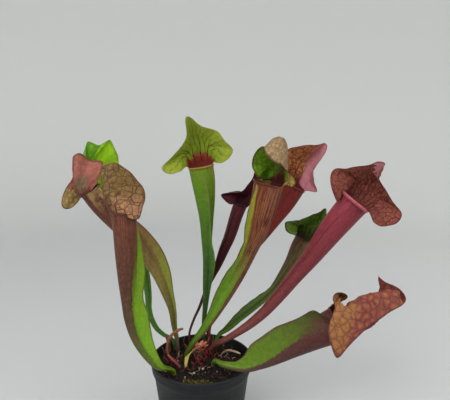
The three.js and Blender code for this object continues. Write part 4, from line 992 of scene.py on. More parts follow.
def leaf_tissue(name, look):
    """The finish of one leaf, with its net of veins."""
    material, put, place, dress = new_material(f"waxy_leaf_tissue_{name}")
    grow, inner, wing_at, margin, across, width, belly_at, lip, net_x, net_y = (
        put("ShaderNodeAttribute", attribute_name=key).outputs["Fac"]
        for key in ("growth", "inner", "wing", "margin", "across", "fan_width", "belly", "lip",
                    "net_x", "net_y"))
    drift, blotch, slow = (
        put("ShaderNodeTexNoise", {"Vector": place, "Scale": 1 / (size * MM), "Detail": 4.0,
                                   "Roughness": 0.6}) for size in (6, 3, 18))
    centred = put("ShaderNodeMath", [blotch, 0.5], operation="SUBTRACT")

    # the colours up the leaf, on one side a colour that is partly sun-reddening and partly painted
    # light, and where the wing's colour reaches round the tube
    shifted = put("ShaderNodeMath", [drift, 0.22, grow], operation="MULTIPLY_ADD")
    level = put("ShaderNodeMapRange", [shifted, 0.11, 2.11])
    # the inside runs dark below the mouth: the throat's own red, darkened further down the tube as
    # painted shade
    skin, wing, inside = (put("ShaderNodeValToRGB", [level], stops=look[key])
                          for key in ("skin", "wing", "inside"))
    flush_colour, flush_strength = look["flush"]
    flushed = put("ShaderNodeMapRange", [blotch, 0.42, 0.68, 0, flush_strength], **SMOOTH)
    # painted light: one side across the leaf is painted lighter where it is lit or backlit, mixed
    # with the real red of the side that faced the sun
    sun_red_and_lit_colour, sun_red_and_lit_from, sun_red_and_lit_to, sun_red_and_lit_strength = look.get("sun_red_and_lit_side", NO_SUN_RED_AND_LIT_SIDE)
    wavy = put("ShaderNodeMath", [centred, 0.3, across], operation="MULTIPLY_ADD")
    sun_red_and_lit_mask = put("ShaderNodeMapRange", [wavy, sun_red_and_lit_from, sun_red_and_lit_to, 0, sun_red_and_lit_strength], **SMOOTH)
    belly, belly_end = look.get("belly", (1.0, 0.9))
    near_wing = put("ShaderNodeMath", [centred, 0.8, belly_at], operation="MULTIPLY_ADD")
    reached = put("ShaderNodeMath", [
        put("ShaderNodeMapRange", [near_wing, belly, belly + 0.25], **SMOOTH),
        put("ShaderNodeMapRange", [grow, belly_end, belly_end - 0.3], **SMOOTH)],
        operation="MULTIPLY")
    on_wing = put("ShaderNodeMapRange", [wing_at, 0.05, 0.3], **SMOOTH)
    green_part = put("ShaderNodeMath", [on_wing, reached], operation="MAXIMUM")
    colour = skin
    for share, laid in ((flushed, flush_colour), (sun_red_and_lit_mask, sun_red_and_lit_colour), (green_part, wing),
                        (inner, inside)):
        colour = put("ShaderNodeMix", {0: share, 6: colour, 7: laid}, data_type="RGBA")

    # patches of their own colour: an ellipse in across and growth, on one wall
    spread = put("ShaderNodeCombineXYZ", [wavy, shifted, inner])
    plain = 1.0
    for patch, side, half_side, middle, half, wall, *veined in look.get("patches", []):
        away = put("ShaderNodeVectorMath", [
            spread, (1 / half_side, 1 / half, 2),
            (-side / half_side, -(middle + 0.11) / half, -2 * wall)], operation="MULTIPLY_ADD")
        far = put("ShaderNodeVectorMath", [away], operation="LENGTH")
        mask = put("ShaderNodeMapRange", [far, 1.06, 0.84], **SMOOTH)
        colour = put("ShaderNodeMix", {0: mask, 6: colour, 7: patch}, data_type="RGBA")
        if veined:
            left = put("ShaderNodeMath", [mask, veined[0] - 1, 1], operation="MULTIPLY_ADD")
            plain = put("ShaderNodeMath", [plain, left], operation="MULTIPLY")

    # the net: cells with fainter cells inside them, round on the hood and long on the tube
    cell = look["cell"]
    lengthways = put("ShaderNodeCombineXYZ", [net_x, net_y])
    bent = put("ShaderNodeVectorMath", [drift.outputs["Color"], (0.5, 0.05, 0), lengthways],
               operation="MULTIPLY_ADD")
    sized = put("ShaderNodeVectorMath", {0: place, "Scale": 1 / MM}, operation="SCALE")
    sized = put("ShaderNodeVectorMath", [drift.outputs["Color"], [NET_BEND] * 3, sized],
                operation="MULTIPLY_ADD")
    sized = put("ShaderNodeVectorMath", [sized, look.get("stretch", NO_STRETCH)],
                operation="MULTIPLY")
    above = put("ShaderNodeMath", [grow, 1.003], operation="GREATER_THAN")
    net = put("ShaderNodeMix", {0: above, 4: bent, 5: sized}, data_type="VECTOR")
    cells, threads = (put("ShaderNodeTexVoronoi", {"Vector": net, "Scale": scale / cell},
                          feature="DISTANCE_TO_EDGE") for scale in (1, 2.1))
    on_hood = put("ShaderNodeMapRange", [grow, 1.0, 1.04], **SMOOTH)
    core_colour, core_strength = look.get("cores", ("#7a5a2a", 0.0))
    core = put("ShaderNodeMath", [
        put("ShaderNodeMapRange", [cells, 0.08, 0.36, 0, core_strength], **SMOOTH), on_hood],
        operation="MULTIPLY")
    colour = put("ShaderNodeMix", {0: core, 6: colour, 7: core_colour}, data_type="RGBA")
    uneven = put("ShaderNodeMapRange", [drift, 0.3, 0.7, 0.6, 1.7])
    thinned = put("ShaderNodeMath", [cells, uneven], operation="MULTIPLY")
    vein_width, shown = look.get("net", (0.2, 0.8))
    line = put("ShaderNodeMapRange", [thinned, vein_width * 0.3, vein_width, shown, 0], **SMOOTH)
    thread = put("ShaderNodeMapRange", [threads, 0.02, 0.16, 0.42 * shown, 0], **SMOOTH)
    veins = put("ShaderNodeMath", [line, thread], operation="MAXIMUM")

    # the main veins of the hood leave the throat like a fan and fork twice on their way out
    rays, ray_width = look.get("rays", (8, 0.9))
    fan = put("ShaderNodeMath", [across, rays / 2, put(
        "ShaderNodeMath", [slow, 0.6], operation="MULTIPLY")], operation="MULTIPLY_ADD")
    fan = put("ShaderNodeMath", [drift, 0.14, fan], operation="MULTIPLY_ADD")
    spacing = put("ShaderNodeMath", [width, 2 / rays], operation="MULTIPLY")
    for count, start, end, thick in ((1, 0.9, 0.95, 1.0), (1, 1.12, 1.4, 0.8), (2, 1.4, 1.75, 0.6)):
        bend = 0.0
        if start > 1:
            bend = put("ShaderNodeMapRange", [grow, start, end, 0, 0.5], **SMOOTH)
        ray_at = put("ShaderNodeMath", [fan, count, put(
            "ShaderNodeMath", [bend, -1], operation="MULTIPLY")], operation="MULTIPLY_ADD")
        off = put("ShaderNodeMath", [ray_at, 0.5], operation="PINGPONG")
        far = put("ShaderNodeMath", [put("ShaderNodeMath", [off, spacing], operation="MULTIPLY"),
                                     count], operation="DIVIDE")
        ray = put("ShaderNodeMapRange", [far, 0.25 * ray_width * thick, ray_width * thick, 1, 0],
                  **SMOOTH)
        begun = put("ShaderNodeMapRange", [grow, max(start, 1.0), max(start, 1.0) + 0.04])
        outward = put("ShaderNodeMapRange", [grow, 1.25, 1.9, 1, 0.4])
        for factor in (begun, outward):
            ray = put("ShaderNodeMath", [ray, factor], operation="MULTIPLY")
        veins = put("ShaderNodeMath", [veins, ray], operation="MAXIMUM")
    vein_colour, tube_strength, wing_strength, hood_strength = look["veins"]
    hoodward = put("ShaderNodeMath", [inner, 0.18, grow], operation="MULTIPLY_ADD")
    drawn = put("ShaderNodeMapRange", [hoodward, 0.9, 1.05, tube_strength, hood_strength], **SMOOTH)
    low_fade = put("ShaderNodeMapRange", [grow, 0.12, 0.45], **SMOOTH)
    off_wing = put("ShaderNodeMapRange", [green_part, 0, 1, 1, wing_strength])
    for factor in (low_fade, off_wing, plain, veins):
        drawn = put("ShaderNodeMath", [drawn, factor], operation="MULTIPLY")

    # the veins are laid on, then margins, the rolled lip and a fine mottle
    rim_colour, rim_strength = look["rim"]
    rim = put("ShaderNodeMapRange", [margin, 0.3, 0.95, 0, rim_strength], **SMOOTH)
    lip_colour, lip_strength = look.get("lip_colour", (rim_colour, rim_strength))
    rolled = put("ShaderNodeMath", [lip, lip_strength], operation="MULTIPLY")
    for share, laid in ((drawn, vein_colour), (rim, rim_colour), (rolled, lip_colour)):
        colour = put("ShaderNodeMix", {0: share, 6: colour, 7: laid}, data_type="RGBA")
    speckle, mottle = (put("ShaderNodeTexNoise", {"Vector": place, "Scale": 1 / (size * MM),
                                                  "Detail": 3.0}) for size in (0.9, 3.2))
    shade = put("ShaderNodeMath", [
        put("ShaderNodeMapRange", [speckle, 0.2, 0.8, 0.84, 1.16]),
        put("ShaderNodeMapRange", [mottle, 0.25, 0.75, 0.84, 1.16])], operation="MULTIPLY")
    toned = put("ShaderNodeVectorMath", {0: colour, "Scale": shade}, operation="SCALE")

    gloss = put("ShaderNodeMapRange", [blotch, 0.0, 1.0, 0.42, 0.62])
    matt_inside = put("ShaderNodeMath", [inner, 0.25, gloss], operation="MULTIPLY_ADD")
    sunk = put("ShaderNodeMath", [veins, -0.6, speckle], operation="MULTIPLY_ADD")
    bump = put("ShaderNodeBump", {"Strength": 0.5, "Distance": 0.22 * MM, "Height": sunk})
    dress({"Base Color": toned, "Roughness": matt_inside, "Normal": bump, "IOR": 1.42,
           "Specular IOR Level": 0.24, "Subsurface Weight": 0.08,
           "Subsurface Radius": (0.6, 0.9, 0.3), "Subsurface Scale": 1.0 * MM})
    return material


# %% The colours of each leaf
LEAF_LOOKS = {
    "pitcher_front_left": {
        "slot": "leaf_front_left", "quilt": 0.6, "cell": 6.4, "stretch": (1, 0.4, 0.9),
        "skin": [(0, "#4f741c"), (0.14, "#4a6522"), (0.24, "#443c26"), (0.36, "#503226"),
                 (0.46, "#63392a"), (0.53, "#5a3422"), (0.6, "#664822"), (0.7, "#685424"),
                 (1, "#6c5828")],
        "wing": [(0, "#6d8c22"), (0.2, "#628a14"), (0.4, "#6c8c1a"), (0.5, "#5a6020")],
        "inside": [(0, "#2a1512"), (0.5, "#4a2218"), (0.62, "#57662a"), (1, "#5f7a26")],
        "belly": (0.5, 0.86),
        "sun_red_and_lit_side": ("#a07452", 0.05, 0.6, 0.95), "flush": ("#7d4a34", 0.4),
        "veins": ("#3a1810", 0.5, 0.1, 1.0), "rim": ("#553022", 0.6),
        "rays": (3, 1.0), "net": (0.1, 0.75),
    },
    "pitcher_back_left": {
        "slot": "leaf_back_left", "quilt": 0.7, "cell": 5.4,
        "skin": [(0, "#3c2a1c"), (0.1, "#565c2a"), (0.26, "#8c8040"), (0.34, "#6e5434"),
                 (0.44, "#583228"), (0.53, "#552c28"), (0.64, "#7a4638"), (0.8, "#90524a"),
                 (1, "#9a5a4a")],
        "wing": [(0, "#4a3a22"), (0.14, "#7d8a34"), (0.27, "#8a8c34"), (0.35, "#7c5c34"),
                 (0.42, "#5e3630")],
        "inside": [(0, "#2a1013"), (0.5, "#2c1210"), (0.7, "#5c2c1c"), (1, "#a86434")],
        "flush": ("#7d4a3a", 0.4),
        "veins": ("#45201a", 0.45, 0.2, 0.6), "rim": ("#4a241c", 0.7), "rays": (6, 1.0),
        "net": (0.13, 0.55),
        "patches": [("#685238", 0.42, 0.34, 1.42, 0.35, 0), ("#b4965e", -0.85, 0.5, 1.8, 0.9, 0)],
    },
    "pitcher_far_green": {
        "slot": "leaf_far_green", "quilt": 0.4, "cell": 5.5,
        "skin": [(0, "#36561c"), (0.3, "#3c601c"), (0.5, "#467420"), (0.7, "#54822e"),
                 (1, "#5e8a34")],
        "wing": [(0, "#3a5c1c"), (0.5, "#4a7020")],
        "inside": [(0, "#34500f"), (0.5, "#527a1e"), (1, "#649a22")],
        "sun_red_and_lit_side": ("#6c9024", -0.1, 0.2, 0.9), "flush": ("#487c2a", 0.3),
        "veins": ("#35581a", 0.3, 0.2, 0.4), "rim": ("#55701e", 0.5), "rays": (5, 0.7),
        # the bright yellow-green patch on the hood's inner face is painted backlight
        "net": (0.16, 0.4), "patches": [("#8ebc18", -0.95, 0.95, 1.5, 1.2, 1)],
    },
    "pitcher_tall_green": {
        "slot": "leaf_tall_green", "quilt": 0.4, "cell": 6.5,
        "skin": [(0, "#22381a"), (0.12, "#2c4822"), (0.24, "#345422"), (0.34, "#44681c"),
                 (0.44, "#587a16"), (0.52, "#6a7c20"), (0.7, "#6c8820"), (1, "#788c24")],
        "wing": [(0, "#26401c"), (0.2, "#345a24"), (0.34, "#4a7020"), (0.5, "#7c6a34")],
        "inside": [(0, "#220c0a"), (0.44, "#4a1412"), (0.56, "#76281c"), (0.59, "#7c4a22"),
                   (0.62, "#6a8414"), (0.72, "#70881a"), (1, "#7e8c28")],
        "sun_red_and_lit_side": ("#9a7042", 0.5, 1.0, 0.6), "flush": ("#5f7a20", 0.25),
        "veins": ("#4c120e", 0.05, 0.1, 1.0), "rim": ("#86783a", 0.5), "rays": (5, 1.2),
        "net": (0.12, 0.14), "lip_colour": ("#8c6a34", 0.8),
    },
    "pitcher_dark": {
        "slot": "leaf_dark", "quilt": 0.4, "cell": 4.2,
        "skin": [(0, "#33241c"), (0.14, "#452c26"), (0.3, "#44191d"), (0.5, "#5a2229"),
                 (0.75, "#60242c"), (1, "#682a34")],
        "wing": [(0, "#33241c"), (0.5, "#45181f")],
        "inside": [(0, "#2c1012"), (0.5, "#4a1a22"), (1, "#5c2430")],
        "sun_red_and_lit_side": ("#632832", 0.2, 1.0, 0.4), "flush": ("#461a1e", 0.4),
        "veins": ("#260c10", 0.4, 0.4, 0.5), "rim": ("#2a0d12", 0.7),
    },
    "pitcher_middle": {
        "slot": "leaf_middle", "quilt": 0.6, "cell": 5.2,
        "skin": [(0, "#3f5c1a"), (0.1, "#44601c"), (0.2, "#4c4620"), (0.32, "#603e22"),
                 (0.42, "#7c4a28"), (0.5, "#7a482a"), (0.58, "#7c603c"), (0.8, "#94805a"),
                 (1, "#9c8860")],
        "wing": [(0, "#486c18"), (0.15, "#527c18"), (0.28, "#5c7e1c"), (0.4, "#808a22"),
                 (0.5, "#90882a")],
        "inside": [(0, "#240c0e"), (0.47, "#3c161a"), (0.53, "#4a1d1e"), (0.57, "#547021"),
                   (0.62, "#649418"), (1, "#6ca01a")],
        "belly": (0.1, 0.72),
        "sun_red_and_lit_side": ("#8a5a44", 0.5, 0.95, 0.5), "flush": ("#743c22", 0.5),
        "veins": ("#4c1812", 1.0, 0.15, 0.6), "rim": ("#4c171c", 0.8),
        "rays": (7, 0.9), "net": (0.16, 0.85),
        "patches": [("#8c7c30", -0.95, 0.5, 1.6, 0.9, 1),
                    ("#6ca01c", 0.9, 0.55, 1.35, 0.35, 1)],
    },
    "pitcher_red": {
        "slot": "leaf_red", "quilt": 0.7, "cell": 5.4,
        "skin": [(0, "#553626"), (0.15, "#603a26"), (0.3, "#742f28"), (0.42, "#842f29"),
                 (0.5, "#8a302c"), (0.6, "#7a2f34"), (0.8, "#8f4a44"), (1, "#9c5648")],
        "wing": [(0, "#4f5a22"), (0.3, "#5a5a24"), (0.5, "#7a3a2a")],
        "inside": [(0, "#230b0e"), (0.44, "#421519"), (0.54, "#5c2620"), (0.6, "#a4683a"),
                   (0.8, "#bc7e4c"), (1, "#bc7c4c")],
        "sun_red_and_lit_side": ("#8f3a38", 0.2, 1.0, 0.4), "flush": ("#7a2824", 0.3),
        "veins": ("#4a160f", 0.4, 0.3, 0.95), "rim": ("#6a2a26", 0.6), "rays": (7, 0.9),
        "net": (0.12, 0.85),
        "patches": [("#b4747c", -1.0, 1.1, 1.8, 1.2, 1, 0.1),
                    ("#a8646c", -0.8, 0.9, 1.85, 0.9, 0, 0.3)],
    },
    "pitcher_great_red": {
        "slot": "leaf_great_red", "quilt": 0.75, "cell": 6.2,
        "skin": [(0, "#6c4a3a"), (0.08, "#74483c"), (0.2, "#743c3a"), (0.36, "#7c343c"),
                 (0.5, "#822f3c"), (0.58, "#7c303c"), (0.8, "#8c4a38"), (1, "#98583e")],
        "wing": [(0, "#85553a"), (0.3, "#7a3436"), (0.5, "#8a3440")],
        "inside": [(0, "#240c11"), (0.4, "#4a1d26"), (0.47, "#68302a"), (0.56, "#6e3a2a"),
                   (0.7, "#763e2e"), (1, "#7c4434")],
        "sun_red_and_lit_side": ("#96404a", -0.3, -0.95, 0.5), "flush": ("#74282e", 0.35),
        "veins": ("#481519", 0.2, 0.2, 1.0), "rim": ("#5e2024", 0.7),
        # the rolled lip's pink-red is partly its own colour and partly a painted highlight
        "lip_colour": ("#a0505a", 0.9),
        "rays": (8, 1.0), "net": (0.1, 0.85),
        "patches": [("#c08088", -0.04, 0.12, 1.95, 0.3, 1, 0.1)],
    },
    "pitcher_small": {
        "slot": "leaf_small", "quilt": 0.55, "cell": 4.4,
        "skin": [(0, "#48681e"), (0.2, "#486024"), (0.34, "#644c34"), (0.46, "#70483a"),
                 (0.56, "#4c4422"), (0.7, "#4a5a20"), (1, "#52742a")],
        "wing": [(0, "#4c6e20"), (0.25, "#5c7c30"), (0.4, "#5c6a30"), (0.5, "#4a5a2a")],
        "inside": [(0, "#1f100c"), (0.48, "#2e1a12"), (0.56, "#4c5a20"), (0.8, "#668a2c"),
                   (1, "#6e902e")],
        "sun_red_and_lit_side": ("#5f8f2c", 0.3, 0.9, 0.4), "flush": ("#4a3420", 0.5),
        "veins": ("#20200c", 0.45, 0.15, 0.85), "rim": ("#35201a", 0.75),
        "rays": (6, 1.0), "net": (0.13, 0.7),
    },
    "pitcher_low_front": {
        "slot": "leaf_low_front", "quilt": 1.1, "cell": 7.0,
        "skin": [(0, "#3f641c"), (0.1, "#445820"), (0.2, "#463c2e"), (0.32, "#4a302a"),
                 (0.46, "#4a2a24"), (0.54, "#52302a"), (0.62, "#6e4032"), (0.8, "#7e3e2e"),
                 (1, "#783c30")],
        "wing": [(0, "#567818"), (0.14, "#5a7a18"), (0.28, "#566e1a"), (0.4, "#4a541c"),
                 (0.5, "#453622")],
        "inside": [(0, "#2a1012"), (0.5, "#4a2420"), (0.65, "#7c6034"), (0.8, "#8a5a3a"),
                   (1, "#7c4a3a")],
        "belly": (0.5, 1.0),
        "flush": ("#743430", 0.4),
        "veins": ("#4c2328", 0.5, 0.15, 0.8), "rim": ("#542630", 0.65), "rays": (4, 0.4),
        "cores": ("#a06c38", 0.45), "net": (0.1, 0.7),
        # the second and third patches lighten the shaded ear beside the mouth, on both faces:
        # painted light
        "patches": [("#8e5e36", 0.85, 0.85, 1.7, 0.62, 0),
                    ("#85573f", 0.9, 0.4, 1.14, 0.14, 0), ("#6e5a34", 0.9, 0.4, 1.14, 0.16, 1)],
    },
}

# %% Growing all ten
LEAF_SHIFT = 1.37

for number, (name, shape) in enumerate(PITCHER_SHAPES.items()):
    look = LEAF_LOOKS[name]
    leaf = grow_pitcher(f"{name}_leaf", shape, number * LEAF_SHIFT)
    quilting = quilt_nodes(look["cell"], look["quilt"], look.get("stretch", NO_STRETCH))
    apply_modifier(leaf, "NODES", node_group=quilting)
    finish_piece(leaf, leaf_tissue(name, look), name)

# %% [markdown]
# ## The soil
# Bog plants grow in peat with sand or perlite: a dark, wet, crumbly surface with fibres in it. The
# body of the soil is pulled out ring by ring, down the wall and in over the top, and the top is
# roughened with noise. Loose crumbs, perlite grains and fibres lie half sunk in it. Each kind of
# crumb is modelled once from an icosphere, and its copies are turned and scaled by seeded chance.

# %% Soil body
SOIL_SIDES = 96
SOIL_REACH = 48
SOIL_STEP = 1.25
# how often a lump comes in a millimetre, and how high it is
LUMPS = ((0.2, 1.3), (0.5, 0.9), (1.1, 0.55))


def soil_height(x, y):
    """The CAD's gentle mound and hollows, above the soil line, in millimetres."""
    mound = 1.2 * math.exp(-(x * x + y * y) / 900)
    rough = 0.7 * math.sin(x * 0.55 + 1.3) * math.cos(y * 0.47) + 0.4 * math.sin(x * 1.1 - y * 0.9)
    return mound + rough - 0.6


def crumbly(x, y):
    """The soil's top with crumbs of about 5, 2 and 1 mm."""
    lumps = sum(noise.noise(Vector((x * often, y * often, 3.7 * often))) * high
                for often, high in LUMPS)
    return SOIL_TOP + soil_height(x, y) + lumps


def soil_ring(radius, height=None):
    """The corners of one soil ring in metres, level at a height or crumbly on top."""
    places = []
    for x, y, _ in circle_of(radius, 0, SOIL_SIDES):
        z = crumbly(x / MM, y / MM) if height is None else height
        places.append((x, y, z * MM))
    return places


peat = start_ring("peat_body", SOIL_SIDES, (0, 0, SOIL_TOP * MM))
lay_ring(peat, 0, soil_ring(inside_radius(1) - 2.7, POT_WALL + 0.3))
side_rings = [(inside_radius(4) - 0.5, 4), (inside_radius(40) - 0.4, 40),
              (inside_radius(77) - 0.4, 77.5)]
top_radii = [inside_radius(80) - 0.5] + [
    SOIL_REACH - step * SOIL_STEP for step in range(1, int(SOIL_REACH / SOIL_STEP))]
for number, (radius, height) in enumerate(side_rings, 1):
    pull_ring(peat, number, soil_ring(radius, height))
for number, radius in enumerate(top_radii, len(side_rings) + 1):
    pull_ring(peat, number, soil_ring(radius))
close_ends(peat)
leave_edit(peat)
apply_modifier(peat, "SUBSURF", levels=1, render_levels=1)

# %% [markdown]
# ### Wet peat, bark and perlite
# Peat is nearly black where it is wet and brown where it dries, and quite rough. The loose crumbs
# share that finish, but each island of a joined mesh draws its own random tone, so no two crumbs
# look alike. Perlite is puffed volcanic glass: a chalky off-white with peat dust on it.

# %% Soil finishes
def peat_and_crumbs(name, stops, size, roughness, per_crumb):
    """A matt organic finish whose tone changes from crumb to crumb and over size millimetres."""
    material, put, place, dress = new_material(name)
    patch = put("ShaderNodeTexNoise", {"Vector": place, "Scale": 1 / (size * MM), "Detail": 8.0,
                                       "Roughness": 0.72})
    tone = put("ShaderNodeAttribute", attribute_name="tone").outputs["Fac"]
    mixed = put("ShaderNodeMix", {0: per_crumb, 2: patch, 3: tone}, data_type="FLOAT")
    colour = put("ShaderNodeValToRGB", [mixed], stops=stops)
    wet = put("ShaderNodeMapRange", [patch, 0.3, 0.7, roughness - 0.3, roughness])
    grain = put("ShaderNodeTexNoise", {"Vector": place, "Scale": 1 / (0.5 * MM), "Detail": 4.0})
    bump = put("ShaderNodeBump", {"Strength": 0.6, "Distance": 0.25 * MM, "Height": grain})
    dress({"Base Color": colour, "Roughness": wet, "Normal": bump, "Specular IOR Level": 0.2})
    return material


peat_finish = peat_and_crumbs(
    "wet_peat", [(0.3, "#080505"), (0.48, "#110b09"), (0.62, "#221611"), (0.78, "#3c261b")],
    6, 0.9, 0.0)
finish_piece(peat, peat_finish, "soil")

# %% Crumbs, perlite and fibres
rng = random.Random(41)


def scatter_place(reach):
    """A chance place on the soil inside a radius."""
    turn, radius = rng.uniform(0, 2 * math.pi), math.sqrt(rng.random()) * reach
    return math.cos(turn) * radius, math.sin(turn) * radius


def rough_grain(detail, roughness, seed):
    """One grain of unit size: an icosphere whose corners are pushed in and out."""
    grain = add_object(bpy.ops.mesh.primitive_ico_sphere_add, subdivisions=detail, radius=1)
    bpy.ops.object.mode_set(mode="EDIT")
    bpy.ops.mesh.select_all(action="SELECT")
    bpy.ops.transform.vertex_random(offset=roughness, seed=seed)
    bpy.ops.object.mode_set(mode="OBJECT")
    return grain


def scatter(name, grains, places, tones):
    """Copies the grains to (matrix) places as one mesh, and gives each copy its own tone."""
    mesh = bmesh.new()
    mesh.verts.layers.float.new("tone")
    for number, (matrix, value) in enumerate(zip(places, tones)):
        before = len(mesh.verts)
        mesh.from_mesh(grains[number % len(grains)].data)
        mesh.verts.ensure_lookup_table()
        tone = mesh.verts.layers.float["tone"]
        for corner in mesh.verts[before:]:
            corner.co = matrix @ corner.co
            corner[tone] = value
    data = bpy.data.meshes.new(name)
    mesh.to_mesh(data)
    mesh.free()
    for grain in grains:
        bpy.data.objects.remove(grain)
    piece = bpy.data.objects.new(name, data)
    bpy.context.collection.objects.link(piece)
    return piece


def lying(x, y, lift, size, stretch=(1, 1, 1)):
    """Where a grain lies: at x, y on the soil, turned by chance."""
    turn = Euler([rng.uniform(0, 6.3) for _ in range(3)]).to_matrix().to_4x4()
    scale = Matrix.Diagonal([size * s * MM for s in stretch] + [1])
    return Matrix.Translation((x * MM, y * MM, (crumbly(x, y) + lift) * MM)) @ turn @ scale


def standing(foot, lean, stretch):
    """Where a copy stands: its foot in millimetres, the way it leans and its size each way."""
    turned = Vector(lean).to_track_quat("Z", "Y").to_matrix().to_4x4()
    turned.translation = Vector(foot) * MM
    return turned @ Matrix.Diagonal([size * MM for size in stretch] + [1])


CRUMBS = 1500
CRUMB_REACH = 47
crumb_places, crumb_tones = [], []
for _ in range(CRUMBS):
    x, y = scatter_place(CRUMB_REACH)
    size = 0.45 + 1.3 * rng.random()**3
    stretch = (1, rng.uniform(0.5, 1), rng.uniform(0.5, 1))
    crumb_places.append(lying(x, y, size * 0.25, size, stretch))
    crumb_tones.append(rng.random())
crumbs = scatter("peat_crumbs", [rough_grain(1, 0.25, s) for s in (1, 2, 3)], crumb_places,
                 crumb_tones)
crumb_finish = peat_and_crumbs(
    "bark_and_peat_crumbs",
    [(0.1, "#080504"), (0.55, "#150d09"), (0.75, "#2c1812"), (0.9, "#50261a"), (1, "#6e4a34")],
    3, 0.92, 0.8)
finish_piece(crumbs, crumb_finish)

# PERLITE_SEEN lies where the photograph shows pale grains
PERLITE_SEEN = [
    (-25.2, 22.4, 1.3), (-16.2, 20.2, 1.2), (2.0, -14.5, 1.5), (-6.7, -20.1, 1.4),
    (20.2, 1.2, 1.0), (27.5, -4.8, 1.2), (-30.9, 33.8, 1.0), (-25.6, 5.3, 0.9),
    (26.6, 22.4, 1.0), (31.7, -2.8, 0.9), (16.3, -16.4, 0.9), (-15.1, -27.4, 0.8),
    (2.3, 41.0, 1.0), (36.1, -12.3, 0.7),
]
MORE_PERLITE = 34
PERLITE_REACH = 46
perlite_places = [lying(x, y, 0.5, size, (1, 0.85, 0.8)) for x, y, size in PERLITE_SEEN]
for _ in range(MORE_PERLITE):
    x, y = scatter_place(PERLITE_REACH)
    perlite_places.append(lying(x, y, 0.2, rng.uniform(0.35, 0.8), (1, 0.9, 0.8)))
perlite = scatter("perlite_grains", [rough_grain(2, 0.18, s) for s in (5, 6)], perlite_places,
                  [rng.random() for _ in perlite_places])
perlite_finish = peat_and_crumbs(
    "perlite", [(0.2, "#6d6258"), (0.5, "#9c9284"), (0.8, "#beb6a8")], 2, 0.9, 0.5)
finish_piece(perlite, perlite_finish)


# %% Fibres
def thin_strand(points, radii, flat=0.6, sides=5):
    """One strand: a ring pulled out along its points, closed at both ends."""
    strand = start_ring("strand", sides, Vector(points[0]) * MM)
    last = len(points) - 1
    for number, point in enumerate(points):
        before, after = points[max(number - 1, 0)], points[min(number + 1, last)]
        along = unit(np.subtract(after, before))
        across = unit(np.cross(along, [0.1, 0.2, 1]))
        rise = np.cross(across, along)
        turns = np.arange(sides) / sides * 2 * math.pi
        ring = (np.array(point) + np.cos(turns)[:, None] * across * radii[number]
                + np.sin(turns)[:, None] * rise * radii[number] * flat) * MM
        if number:
            pull_ring(strand, number, ring)
        else:
            lay_ring(strand, 0, ring)
    close_ends(strand)
    leave_edit(strand)
    return strand


FIBRES = 70
FIBRE_STARTS = 43
FIBRE_REACH = 46
# how thick a fibre is from end to end
FIBRE_SHAPE = (0.5, 1, 1, 1, 0.8, 0.4)

fibres = []
for _ in range(FIBRES):
    x, y = scatter_place(FIBRE_STARTS)
    turn, length = rng.uniform(0, 2 * math.pi), rng.uniform(4, 11)
    curl, hop = rng.uniform(-0.12, 0.12), rng.uniform(0.3, 1.6)
    points = []
    for step in range(len(FIBRE_SHAPE)):
        turn += curl * 2
        x += math.cos(turn) * length / len(FIBRE_SHAPE)
        y += math.sin(turn) * length / len(FIBRE_SHAPE)
        arch = math.sin(step / (len(FIBRE_SHAPE) - 1) * math.pi) * hop
        points.append((x, y, crumbly(x, y) + 0.1 + arch))
    if math.hypot(x, y) < FIBRE_REACH:
        thick = rng.uniform(0.14, 0.3)
        fibres.append(thin_strand(points, [thick * share for share in FIBRE_SHAPE]))
peat_fibres = join_copies("peat_fibres", fibres)
fibre_finish = peat_and_crumbs(
    "dead_moss_fibres", [(0.3, "#2c2018"), (0.5, "#57432f"), (0.7, "#8a7455")], 5, 0.85, 0.0)
finish_piece(peat_fibres, fibre_finish)

# %% [markdown]
# ## The crown
# All leaves grow from a short rhizome at the soil line. Round it stand the thick, cupped bases of
# old leaves that were cut back, orange-red and fleshy, paler to the tip. Each base is a ring pulled
# up along a short bent line, wide and flat at the bottom and pointed at the top.

# %% Stems of any section
FOOT_STRAIGHT = 10


def grow_stem(name, path, across, rows=18, sides=12, straight=FOOT_STRAIGHT, cup=0.0, knots=0.0):
    """A stem with a flattened section. path is x, y, height, half width and half thickness."""
    line = [p[:3] for p in path]
    sizes = [(p[3], p[4], 0) for p in path]
    turns = np.arange(sides) / sides * 2 * math.pi
    stem = start_ring(name, sides, Vector(path[0][:3]) * MM)
    first = -1 if straight else 0
    for row in range(first, rows + 1):
        share = max(row, 0) / rows
        middle = along_curve(line, share) + [0, 0, SOIL_TOP]
        wide, thick, _ = along_curve(sizes, share)
        along = unit(along_curve(line, share + 0.02) - along_curve(line, max(share - 0.02, 0)))
        if row <= 0 and straight:
            along = np.array([0.0, 0.0, 1.0])
        if row < 0:
            middle = middle - [0, 0, straight]
        side = unit(np.array(across) - along * np.dot(across, along))
        out = np.cross(along, side)
        swell = 1 + knots * math.sin(row * 2.3) * math.sin(row * 0.9 + 1)
        hollow = cup * np.cos(turns)**2 * wide
        ring = (middle + np.cos(turns)[:, None] * side * wide * swell
                + (np.sin(turns) * thick * swell + hollow)[:, None] * out) * MM
        facts = {"growth": share}
        if row == first:
            lay_ring(stem, 0, ring, facts)
        else:
            pull_ring(stem, row - first, ring, facts)
    close_ends(stem)
    leave_edit(stem)
    apply_modifier(stem, "SUBSURF", levels=1, render_levels=1)
    return stem


# %% [markdown]
# ### Fleshy and dried tissue
# A cut leaf base is smooth and wet (roughness near 0.4) with fibres running along it. A dead stalk
# is the same tissue dried: duller, browner, wrinkled. One finish does both, with colours up the
# stem. The fibres are about 0.4 mm apart and are drawn at 0.9 mm, so that they show.

